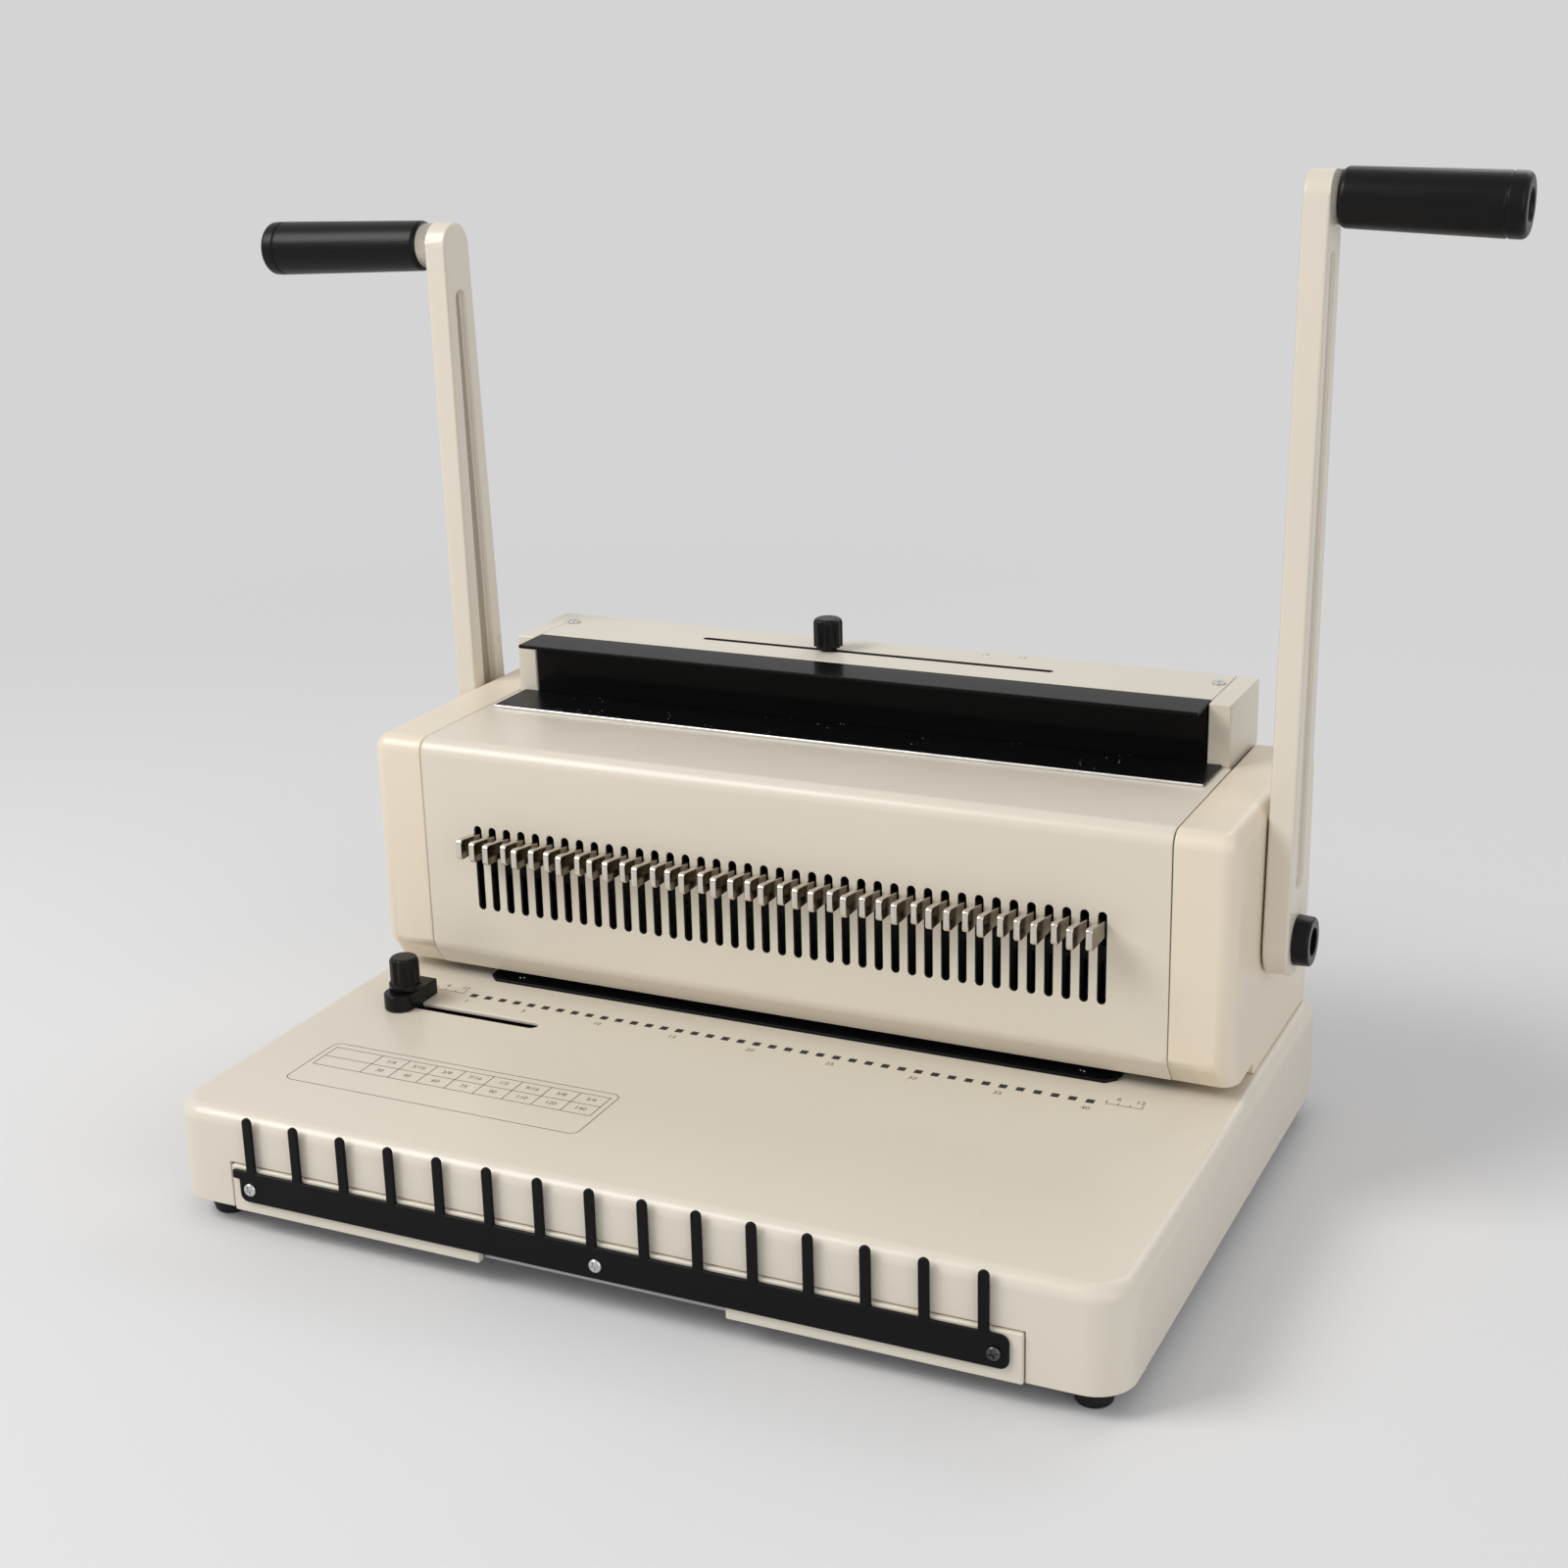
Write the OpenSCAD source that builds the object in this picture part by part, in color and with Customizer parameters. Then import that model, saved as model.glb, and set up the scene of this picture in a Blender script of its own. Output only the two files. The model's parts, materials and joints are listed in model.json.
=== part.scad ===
// Wire binding machine: a hand punch with a row of pull-out pins and a loop closing press on one desk base.
// Millimetres, +Z up. Everything is laid out with the deck top at z = 0, the front of the punch housing
// at y = 0 and the middle of the hole row at x = 0, then placed with its footprint box over the origin.

/* [Hole row] */
// Distance between neighbouring holes, three to the inch
hole_pitch = 8.466; // [8:0.002:9.5]
// Number of holes in the row
hole_count = 40; // [30:2:46]
// Side of a square punch pin
pin_side = 4; // [3:0.1:4.4]
// Depth of the hole row behind the front of the housing
row_y = 22; // [20.5:0.5:24]

/* [Base] */
// Depth of the deck in front of the housing
deck_depth = 175; // [150:1:200]
// Height of the base shell
base_h = 48; // [46:1:60]
// How far the base stands out beyond a side cover
base_margin = 6.5; // [3:0.5:15]
// Thickness of the base shell
base_wall = 3; // [2:0.1:4]
// Corner radius of the base seen from above
base_corner_r = 18; // [12:1:28]
// Radius along the top edge of the base
base_edge_r = 7; // [4:0.5:9]
// Thickness of the bottom plate
bottom_t = 1.5; // [1:0.1:3]
// Height of a foot below the base
foot_h = 12; // [4:0.5:14]
// Radius of a foot
foot_r = 11; // [8:0.5:12]

/* [Housing] */
// Distance from the last hole to the end of the front panel
housing_margin = 31.4; // [30:0.1:40]
// Height of the housing above the deck
housing_h = 130; // [125:1:140]
// Depth of the housing from its front to its back
housing_d = 150; // [146:1:165]
// Height of the underside of the housing above the deck
throat_h = 6.3; // [6:0.1:8]
// Thickness of the panel sheet
panel_t = 2.5; // [1.5:0.1:3]
// Radius along the top front edge of the housing
panel_r = 8; // [5:0.5:12]
// Depth of the slope at the foot of the front panel
slope_d = 9; // [6:0.5:11]
// Height where that slope starts
slope_z = 18.5; // [15:0.5:24]
// Width of a side cover
cover_w = 29.5; // [24:0.5:40]
// Gap between the front panel and a side cover
seam = 0.5; // [0.3:0.1:0.8]
// Depth at which the covers and frames step down to the deck
step_y = 42; // [40:0.5:48]
// Thickness of a frame plate
frame_t = 4; // [3:0.5:6]

/* [Slots and tabs] */
// Width of a slot in the front panel
slot_w = 4.2; // [3.8:0.1:4.8]
// Height of the lower end of a slot
slot_low = 42.4; // [36:0.1:46]
// Height of the upper end of a slot
slot_high = 87.7; // [87.5:0.1:96]
// Thickness of a pull tab
tab_t = 3.3; // [2:0.1:3.4]
// Height of a pull tab
tab_h = 10.8; // [9:0.1:10.9]
// How far the longest pull tab stands out of the panel
tab_reach = 22; // [18:0.5:26]
// How much further in a pull tab may sit than the longest one
tab_play = 4; // [0:0.5:5]
// How much lower the top of a pull tab is at the panel than at its front
tab_drop = 2.8; // [0:0.1:4]

/* [Punch] */
// Height of the lower face of the lifter bar
lifter_z = 58; // [56:0.5:60]
// Thickness of the lifter bar
lifter_t = 8; // [6:0.5:8.2]
// Height of a pin head
pin_head_h = 9.3; // [8:0.1:9.4]
// Height of a pin tip when the handle is up
pin_tip_z = 19; // [15:0.5:22]
// Height of the ram bar
ram_h = 12.5; // [10:0.5:15]
// Thickness of the die plate
die_t = 1.6; // [1:0.1:2]
// Top of the punch guide
guide_top = 30; // [26:0.5:32]
// Radius of a ram guide rod
rod_r = 3; // [2.5:0.1:3.5]
// Height of the punch shaft
punch_shaft_z = 63; // [60:0.5:66]
// Depth of the punch shaft
punch_shaft_y = 60; // [58:0.5:64]
// Radius of the punch shaft
punch_shaft_r = 7; // [6:0.25:8]
// Module of the punch pinion
punch_module = 2; // [1.8:0.05:2.1]
// Teeth of the punch pinion
punch_teeth = 15; // [14:1:16]

/* [Press] */
// Top of the lid and of the jaw
lid_z = 161; // [156:0.5:170]
// Distance of the posts beside the jaw from the back of the housing
post_back = 52.4; // [51:0.1:55]
// Width of a rear end piece
rear_end_w = 11; // [9:0.5:13]
// Reach of the jaw flange in front of the posts
flange_reach = 17.6; // [12:0.1:22]
// Thickness of the jaw flange
flange_t = 2; // [1.5:0.1:3]
// Thickness of the jaw web
web_t = 2.5; // [2:0.1:3.5]
// Reach of the anvil plate in front of the posts
anvil_reach = 33; // [25:0.5:40]
// Thickness of the anvil plate
anvil_t = 1.5; // [1:0.1:3]
// Height of the press shaft
press_shaft_z = 30; // [28:0.5:34]
// Distance of the press shaft from the back of the housing
press_shaft_back = 29; // [24:0.5:30]
// Radius of the press shaft
press_shaft_r = 6; // [5:0.25:7]
// Module of the press pinion
press_module = 1.5; // [1.4:0.05:1.6]
// Teeth of the press pinion
press_teeth = 17; // [16:1:18]

/* [Handles] */
// Thickness of a handle arm
arm_t = 12; // [9:0.5:16]
// Gap between an arm and its side cover
arm_gap = 1; // [0.5:0.1:3]
// Length of an arm from shaft to grip
arm_len = 334; // [280:0.5:380]
// Radius of the lower end of an arm
arm_r_low = 17; // [15:0.5:20]
// Radius of the upper end of an arm
arm_r_high = 12; // [8:0.25:14]
// Depth of the groove in each face of an arm
groove_depth = 3.5; // [1:0.5:4]
// Backward lean of the punch arm in degrees
punch_lean = 2.4; // [0:0.1:5]
// Forward lean of the press arm in degrees
press_lean = 1.4; // [0:0.1:5]
// Radius of a grip at its outer end
grip_r = 14; // [12:0.5:16]
// Radius of a grip beside the arm
grip_r_in = 13; // [11:0.5:15]
// Downward tilt of both grips in degrees, towards their outer ends
grip_droop = 1.9; // [0:0.1:4]
// Length of the punch grip
punch_grip_len = 78; // [60:1:110]
// Length of the press grip
press_grip_len = 98; // [60:1:110]
// Length of the boss between the punch arm and its grip
punch_boss = 2.5; // [1:0.5:8]
// Length of the boss between the press arm and its grip
press_boss = 6.5; // [1:0.5:8]
// Radius of a hub cap
hub_r = 12; // [10:0.5:15]
// Length of a hub cap
hub_len = 8; // [6:0.5:12]

/* [Knobs and guides] */
// Radius of a knob
knob_r = 7.5; // [7:0.25:8.25]
// Height of a knob
knob_h = 17; // [12:0.5:22]
// Place of the size knob along the lid
size_x = -25; // [-60:1:60]
// Half length of the slot in the lid
size_slot_half = 97; // [85:1:105]
// Distance of the lid slot from the back of the housing
size_slot_back = 24; // [20:0.5:28]
// Width of the margin guide block
margin_w = 16; // [14:0.5:20]
// Height of the margin guide block
margin_h = 8.5; // [6:0.5:12]
// Distance of the margin guide from the last hole
margin_out = 26.9; // [20:0.1:30]
// Depth of the margin slot in front of the housing
margin_y = 34.5; // [32:0.5:40]
// Width of the margin slot
margin_slot_w = 7; // [5:0.1:8]
// Travel of the margin guide
margin_travel = 65; // [40:1:80]

/* [Drawer and comb] */
// Place of the middle of the drawer along the row
drawer_x = -3; // [-10:0.5:10]
// Half width of the drawer front
drawer_half = 194.1; // [190:0.1:200]
// Height of the drawer front
drawer_h = 23.2; // [22.5:0.1:30]
// How far the drawer front stands out of the base
drawer_proud = 1.5; // [0.5:0.1:4]
// Depth of the chip tray behind the front of the base
tray_d = 208; // [190:1:220]
// Wall of the chip tray
tray_wall = 2; // [1:0.1:3]
// Half width of the finger notch in the drawer front
notch_half = 61; // [40:1:90]
// Number of comb fingers
finger_count = 15; // [9:1:17]
// Distance between comb fingers
finger_pitch = 25.7; // [20:0.1:26]
// Width of a comb finger
finger_w = 4.9; // [4:0.1:8]
// Length of a comb finger above its bar
finger_len = 27.5; // [18:0.5:34]
// Height of the comb bar
comb_h = 15.5; // [12:0.5:18]
// Thickness of the comb
comb_t = 2; // [1.5:0.1:5]

/* [Hidden] */
$fn = 48;
cream = [0.80, 0.75, 0.66];
cover_cream = [0.86, 0.78, 0.64];
black = [0.05, 0.05, 0.055];
steel = [0.66, 0.65, 0.62];
dark_steel = [0.36, 0.37, 0.38];
brass = [0.72, 0.58, 0.30];
rubber = [0.04, 0.04, 0.04];
// Clearances: running fits, sliding faces, pressed seats and loose holes
run_gap = 0.05;
slide_gap = 0.3;
seat_gap = 0.02;
loose_gap = 0.2;
// Overshoot of a cut past the face it opens
over = 1;

// Widths, counted from the middle of the hole row
row_half = hole_pitch * (hole_count - 1) / 2;
panel_half = row_half + housing_margin;
frame_inset = 8.5;
frame_out = panel_half - frame_inset;
frame_in = frame_out - frame_t;
cover_in = panel_half + seam;
cover_out = cover_in + cover_w;
cover_wall = 2.5;
cover_r = panel_r;
cover_back_gap = 4;
slope_lap = 0.05;
cover_hole_gap = 1;
frame_foot_t = 3;
frame_screw_in = 4;
frame_screw_front = 20;
frame_screw_back = 30;
frame_step_gap = 1;
frame_foot_front = 4;
frame_foot_back = 10;
bush_wall = 3;
bush_flange = 2.5;
bush_flange_t = 2.5;
base_half = cover_out + base_margin;
arm_in = cover_out + arm_gap;
arm_out = arm_in + arm_t;

// Ram and its guides
row_end = 5;
rod_in = 10;
rod_x = frame_in - rod_in;
cheek_t = 3;
cheek_gap = 3;
cheek_out = frame_in - cheek_gap;
pinion_in = 19;
pinion_x = frame_in - pinion_in;
pinion_w = 8;
rack_w = 10;
tooth_add = 0.8;
tooth_ded = 1;
tooth_backlash = 0.2;
pressure_angle = 20;
punch_pitch_r = punch_module * punch_teeth / 2;
rack_line = punch_shaft_y - punch_pitch_r;
rack_body = 7;
rack_low = 8;
rack_top = 2;
ram_back = rack_line - tooth_ded * punch_module - rack_body;
row_room = 12;
beam_room = 8;
ram_front = row_y - row_room;
lifter_front = row_y - beam_room;
lifter_top = lifter_z + lifter_t;
pin_head_lap = 1;
pin_head_side = pin_side + 2 * pin_head_lap;
tab_z = lifter_top + pin_head_h + loose_gap;
tab_top = tab_z + tab_h;
tab_round = 2.2;
tab_neck = 1.2;
block_lap = 1;
free_tab_count = 3;
golden_angle = 137.5;
ram_z = tab_top + loose_gap;
ram_top = ram_z + ram_h;
guide_inset = 3.5;
guide_front = slope_d + guide_inset;
guide_back = row_y + row_room;
spring_beam_t = 6;
spring_beam_drop = 8.5;
spring_beam_z = housing_h - panel_t - spring_beam_drop;
ram_coil_gap = 2.2;
ram_wire_r = 0.9;
ram_turns = 5;
stop_t = 3;
stop_rise = 2;
die_lap = 2;
die_front = slope_d - die_lap;
die_reach = 18;
die_back = row_y + die_reach;
die_corner = 5;

// Press jaw and its drive
post_y = housing_d - post_back;
press_shaft_y = housing_d - press_shaft_back;
web_inset = 0.4;
web_y = post_y + web_inset;
panel_back = post_y - slide_gap;
rear_inset = 1;
rear_half = panel_half - rear_inset;
post_in = rear_half - rear_end_w;
jaw_half = post_in - slide_gap;
web_half = frame_in - slide_gap;
lid_inset = 6.9;
lid_front = post_y + lid_inset;
lid_t = 2.5;
flange_front = post_y - flange_reach;
press_pitch_r = press_module * press_teeth / 2;
jaw_line = press_shaft_y - press_pitch_r;
press_pinion_in = 34;
press_pinion_x = frame_in - press_pinion_in;
spring_in = 64;
spring_x = frame_in - spring_in;
spring_back = 7.5;
spring_y = web_y + web_t + spring_back;
jaw_coil_r = 3.6;
jaw_wire_r = 0.7;
jaw_turns = 9;
lug_half = 3;
lug_z = 106;
lug_h = 4;
strap_t = 2.5;
strap_lap = 8;
web_lap = 4;
jaw_rack_low = 10;
jaw_rack_top = 11;
hanger_h = 8;
anvil_inset = 3.5;
beam_d = 20;
beam_h = 15.5;
ledge_w = 9;
ledge_d = 12;
ledge_h = 6;
lid_screw_r = 1.5;
lid_screw_len = 9;
lid_head_r = 3.2;
cross_len = 0.62;
cross_half = 0.17;
cross_floor = 0.35;
cross_turn = 20;
lid_head_h = 1.2;
frame_top = housing_h - panel_t;

// Base, drawer and comb
bottom_inset = 0.5;
bottom_z = -base_h + bottom_inset;
bottom_top = bottom_z + bottom_t;
boss_r = 6;
boss_bore = 12;
foot_x = base_half - base_corner_r;
foot_front = -deck_depth + base_corner_r;
foot_back = housing_d - base_corner_r;
foot_soft = 1.5;
foot_taper = 3;
foot_pad = 2;
foot_screw_r = 2;
foot_screw_len = 10;
frame_head_r = 3.4;
frame_head_h = 2.2;
frame_screw_tail = 4;
front_drop = 0.4;
front_z = -base_h - front_drop;
front_top = front_z + drawer_h;
mouth_gap = 0.5;
mouth_left = 1.6;
drawer_back_y = -deck_depth + base_wall - loose_gap;
drawer_face_y = -deck_depth - drawer_proud;
drawer_t = drawer_back_y - drawer_face_y;
tray_inset = 3.7;
tray_half = drawer_half - tray_inset;
tray_drop = 2.5;
tray_top = front_top - tray_drop;
runner_w = 3;
runner_h = 8;
runner_back = 4;
notch_h = 8.5;
comb_rise = 6.4;
comb_z = front_z + comb_rise;
comb_top = comb_z + comb_h;
comb_face_y = drawer_face_y - comb_t;
comb_end = 8.9;
comb_half = finger_pitch * (finger_count - 1) / 2 + comb_end;
comb_corner = 4;
finger_shift = -2;
comb_screw_in = 6.2;
comb_screw_x = comb_half - comb_screw_in;
comb_screw_up = 7;
comb_screw_z = comb_z + comb_screw_up;
comb_screw_head = 1.5;
comb_screw_dome = 1.2;
comb_screw_r = 1.8;
comb_head_r = 3.2;
comb_lug = 3.5;
comb_lug_h = 4.4;
chip_slot_half_d = 6;

// Margin guide and size carriage
margin_x = -row_half - margin_out;
margin_stud_r = 2.5;
margin_foot_r = 8.4;
margin_foot_h = 3;
margin_nut_t = 3;
margin_nut_half = 8;
margin_slot_end = 3;
margin_slot_x0 = margin_x - margin_w / 2 - margin_slot_end;
margin_slot_x1 = margin_x + margin_travel + margin_w / 2 + margin_slot_end + over;
margin_lip = 2.1;
margin_relief = 3.5;
margin_nose = 6;
margin_tail = 16.5;
margin_front = margin_y + margin_nose + margin_w / 2;
margin_back = margin_y - margin_tail;
size_y = housing_d - size_slot_back;
size_stud_r = 1.4;
size_foot_r = 4.5;
size_foot_h = 2;
size_slot_w = 3.2;
size_block_t = 4;
size_block_half = 15;
size_block_front = 6;
size_block_back = 5;

// Grip ends and the place of the footprint box
punch_grip_x = arm_out + punch_boss;
press_grip_x = arm_out + press_boss;
stud_r = 5;
stud_in = 4;
grip_end = 12;
grip_soft = 3;
bead_in = 9;
bead_d = 0.7;
recess_share = 0.55;
grip_recess = 1.5;
hub_recess = 5.5;
hub_foot = 0.4;
hub_soft = 1.2;
groove_low_r = 6;
groove_high_r = 3.8;
groove_low = 31.5;
groove_high = 26.8;
grip_boss_step = 0.5;
grip_boss_sink = 1;
grip_boss_r = arm_r_high - grip_boss_step;
shaft_tail = 4;
shaft_end = frame_out + shaft_tail;
function grip_reach(x, len) = arm_out + (x + len - arm_out - grip_soft) * cos(grip_droop)
    + (grip_r - grip_soft) * sin(grip_droop) + grip_soft;
x_max = grip_reach(punch_grip_x, punch_grip_len);
x_min = -grip_reach(press_grip_x, press_grip_len);
y_min = comb_face_y - comb_screw_head;
home = [(x_max + x_min) / 2, (y_min + housing_d) / 2, -base_h - foot_h];

// Points along an arc
function arc(c, r, a0, a1, n = 8) =
    [for (i = [0:n]) c + r * [cos(a0 + (a1 - a0) * i / n), sin(a0 + (a1 - a0) * i / n)]];
// Rectangle with round corners
function round_rect(x0, x1, y0, y1, r) = concat(
    arc([x1 - r, y1 - r], r, 0, 90), arc([x0 + r, y1 - r], r, 90, 180),
    arc([x0 + r, y0 + r], r, 180, 270), arc([x1 - r, y0 + r], r, 270, 360));
// Place of hole number i, counted from the left
function hole_x(i) = (i - (hole_count + 1) / 2) * hole_pitch;

// The slope at the foot of the housing, moved in by d
slope_len = norm([slope_d, slope_z - throat_h]);
slope_in = [(slope_z - throat_h) / slope_len, slope_d / slope_len];
// Where the moved slope meets the height z
function slope_y_at(d, z) =
    d * slope_in[0] + (slope_z + d * slope_in[1] - z) * slope_d / (slope_z - throat_h);
// Where the moved slope meets the depth y
function slope_z_at(d, y) =
    slope_z + d * slope_in[1] - (y - d * slope_in[0]) * (slope_z - throat_h) / slope_d;

// Involute tooth form
function inv(a) = tan(a) - a * PI / 180;
function half_tooth(r, m, z) = let (rp = m * z / 2, rb = rp * cos(pressure_angle))
    90 / z - tooth_backlash / 4 / rp * 180 / PI
    + (inv(pressure_angle) - inv(acos(min(1, rb / max(r, rb))))) * 180 / PI;
function pinion_points(m, z) = let (rp = m * z / 2, r0 = rp - 1.1 * m, rb = rp * cos(pressure_angle),
    r1 = rp + tooth_add * m, radii = [r0, for (i = [0:4]) rb + (r1 - rb) * i / 4])
    [for (k = [0:z - 1]) let (a = 180 + k * 360 / z)
        each concat([for (r = radii) r * [cos(a - half_tooth(r, m, z)), sin(a - half_tooth(r, m, z))]],
            [for (i = [5:-1:0]) let (r = radii[i])
                r * [cos(a + half_tooth(r, m, z)), sin(a + half_tooth(r, m, z))]])];
// Rack teeth between two heights, with a gap at height zc; x is the depth and y the height
function rack_points(m, line, front, z0, z1, zc) = let (p = PI * m, tip = tooth_add * m,
    root = tooth_ded * m, h = p / 4 - tooth_backlash / 4, t = tan(pressure_angle),
    k0 = ceil((z0 - zc) / p), k1 = floor((z1 - zc) / p))
    concat([[front, z0], [line - root, z0]],
        [for (k = [k0:k1 - 1]) let (c = zc + (k + 0.5) * p) each [
            [line - root, c - h - root * t], [line + tip, c - h + tip * t],
            [line + tip, c + h - tip * t], [line - root, c + h + root * t]]],
        [[line - root, z1], [front, z1]]);

// Everything is drawn in the layout frame and placed here
module placed() { translate(-home) children(); }
// Outline in depth and height, drawn out along x
module along_x(x0, len) { translate([x0, 0, 0]) rotate([90, 0, 90]) linear_extrude(len) children(); }
// Outline in width and height, drawn out from a back face towards the front
module along_y(back, len) { translate([0, back, 0]) rotate([90, 0, 0]) linear_extrude(len) children(); }
// Box between two corners
module box(a, b) { translate(a) cube(b - a); }
// Rod along x from x0
module rod_x_dir(x0, y, z, r, len) { translate([x0, y, z]) rotate([0, 90, 0]) cylinder(r = r, h = len); }
// Cut along x, and cut along z, both past the faces they open
module bore_x(x0, x1, y, z, r) { rod_x_dir(x0 - over, y, z, r, x1 - x0 + 2 * over); }
module bore_z(z0, z1, r) { translate([0, 0, z0 - over]) cylinder(r = r, h = z1 - z0 + 2 * over); }
// The same piece on both sides of the middle plane
module both_sides() { children(); mirror([1, 0, 0]) children(); }

// Block with round upright corners and a round top edge, its top at z = 0
module soft_block() {
    r = base_corner_r;
    x = base_half - r;
    y0 = -deck_depth + r;
    y1 = housing_d - r;
    edge = concat([[0, -base_h], [r, -base_h]],
        arc([r - base_edge_r, -base_edge_r], base_edge_r, 0, 90), [[0, 0]]);
    box([-x, y0, -base_h], [x, y1, 0]);
    for (corner = [[x, y1, 0], [-x, y1, 90], [-x, y0, 180], [x, y0, 270]])
        translate([corner[0], corner[1], 0]) rotate([0, 0, corner[2]])
            rotate_extrude(angle = 90) polygon(edge);
    translate([0, y1, 0]) along_x(-x, 2 * x) polygon(edge);
    translate([0, y0, 0]) mirror([0, 1, 0]) along_x(-x, 2 * x) polygon(edge);
    translate([x, y1, 0]) along_y(0, y1 - y0) polygon(edge);
    translate([-x, y1, 0]) mirror([1, 0, 0]) along_y(0, y1 - y0) polygon(edge);
}
module at_drawer() { translate([drawer_x, 0, 0]) children(); }
module at_feet() {
    for (x = [-foot_x, foot_x], y = [foot_front, foot_back]) translate([x, y, 0]) children();
}
module at_frame_screws() {
    for (x = [-1, 1], y = [step_y + frame_screw_front, housing_d - frame_screw_back])
        translate([x * (frame_out + frame_screw_in), y, 0]) children();
}

// Base shell with the deck, open below, with the mouth of the drawer in its front
module base_shell() {
    placed() color(cream) difference() {
        union() {
            difference() {
                soft_block();
                translate([0, 0, -base_h - over]) linear_extrude(base_h - base_wall + over)
                    polygon(round_rect(-base_half + base_wall, base_half - base_wall,
                        -deck_depth + base_wall, housing_d - base_wall, base_corner_r - base_wall));
            }
            at_feet() translate([0, 0, bottom_top]) cylinder(r = boss_r, h = -base_wall - bottom_top);
        }
        at_drawer() box([-drawer_half - mouth_left, -deck_depth - over, -base_h - over],
            [drawer_half + mouth_gap, -deck_depth + base_wall + over, front_top + mouth_gap]);
        translate([0, 0, -base_wall - over]) linear_extrude(base_wall + 2 * over)
            polygon(round_rect(margin_slot_x0, margin_slot_x1, -margin_y - margin_slot_w / 2,
                -margin_y + margin_slot_w / 2, margin_slot_w / 2));
        box([margin_slot_x0 - margin_relief, -margin_y - margin_slot_w / 2 - margin_relief, -base_wall - over],
            [margin_slot_x1 + margin_relief, -margin_y + margin_slot_w / 2 + margin_relief, -margin_lip]);
        box([-row_half - row_end, row_y - chip_slot_half_d, -base_wall - over],
            [row_half + row_end, row_y + chip_slot_half_d, over]);
        at_frame_screws() bore_z(-base_wall, 0, foot_screw_r + seat_gap);
        at_feet() bore_z(bottom_top, bottom_top + boss_bore - over, foot_screw_r + seat_gap);
    }
}

module bottom_plate() {
    placed() color(dark_steel) difference() {
        translate([0, 0, bottom_z]) linear_extrude(bottom_t)
            polygon(round_rect(-base_half + base_wall + slide_gap, base_half - base_wall - slide_gap,
                -deck_depth + base_wall + slide_gap, housing_d - base_wall - slide_gap,
                base_corner_r - base_wall - slide_gap));
        at_feet() bore_z(bottom_z, bottom_top, foot_screw_r + seat_gap);
    }
}

// Rubber feet with a recess for the screw
module feet() {
    placed() color(rubber) at_feet() difference() {
        rotate_extrude() polygon(concat([[0, bottom_z], [0, -base_h - foot_h]],
            arc([foot_r - foot_taper - foot_soft, -base_h - foot_h + foot_soft], foot_soft, -90, 0, 4),
            [[foot_r, bottom_z]]));
        translate([0, 0, -base_h - foot_h - over])
            cylinder(r = 2 * foot_screw_r, h = foot_h - foot_pad + over);
        bore_z(-base_h - foot_pad, bottom_z, foot_screw_r + seat_gap);
    }
}
module foot_screws() {
    head_z = -base_h - foot_pad;
    head_h = foot_screw_r;
    placed() color(steel) at_feet() {
        translate([0, 0, head_z - head_h]) cylinder(r = 2 * foot_screw_r - 2 * loose_gap, h = head_h);
        translate([0, 0, head_z]) cylinder(r = foot_screw_r, h = bottom_top + foot_screw_len - head_z);
    }
}

// Frame plate that carries both shafts, with an outward foot on the deck
module frame_plate() {
    low = throat_h + loose_gap;
    step = step_y + frame_step_gap;
    back = housing_d - lid_t;
    difference() {
        union() {
            along_x(frame_in, frame_t) polygon([[guide_front, low], [step, low], [step, 0], [back, 0],
                [back, frame_top], [guide_front, frame_top]]);
            box([frame_out, step_y + frame_foot_front, 0],
                [rear_half, housing_d - frame_foot_back, frame_foot_t]);
        }
        bore_x(frame_in, frame_out, punch_shaft_y, punch_shaft_z, punch_shaft_r + bush_wall + seat_gap);
        bore_x(frame_in, frame_out, press_shaft_y, press_shaft_z, press_shaft_r + bush_wall + seat_gap);
        at_frame_screws() bore_z(0, frame_foot_t, foot_screw_r + seat_gap);
    }
}
module frame_left() { placed() color(dark_steel) mirror([1, 0, 0]) frame_plate(); }
module frame_right() { placed() color(dark_steel) frame_plate(); }
module frame_screws() {
    placed() color(steel) at_frame_screws() {
        translate([0, 0, frame_foot_t]) cylinder(r = frame_head_r, h = frame_head_h);
        translate([0, 0, -base_wall - frame_screw_tail])
            cylinder(r = foot_screw_r, h = base_wall + frame_screw_tail + frame_foot_t);
    }
}

// Bent front panel with a slot for each pull tab
module front_panel() {
    outline = concat([[panel_back, housing_h]], arc([panel_r, housing_h - panel_r], panel_r, 90, 180),
        [[0, slope_z], [slope_d, throat_h], [slope_y_at(panel_t, throat_h), throat_h],
            [panel_t, slope_z_at(panel_t, panel_t)]],
        arc([panel_r, housing_h - panel_r], panel_r - panel_t, 180, 90),
        [[panel_back, housing_h - panel_t]]);
    placed() color(cream) difference() {
        along_x(-panel_half, 2 * panel_half) polygon(outline);
        along_y(panel_t + over, panel_t + 2 * over) for (i = [1:hole_count])
            polygon(concat(arc([hole_x(i), slot_high - slot_w / 2], slot_w / 2, 0, 180, 6),
                arc([hole_x(i), slot_low + slot_w / 2], slot_w / 2, 180, 360, 6)));
    }
}

// Outline that cuts the foot of a side cover, moved in by d
function cover_foot(d) = let (top = housing_h + over) [
    [-over, throat_h + d], [step_y + d, throat_h + d], [step_y + d, loose_gap + d],
    [housing_d, loose_gap + d], [housing_d, top], [-over, top]];
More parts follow.
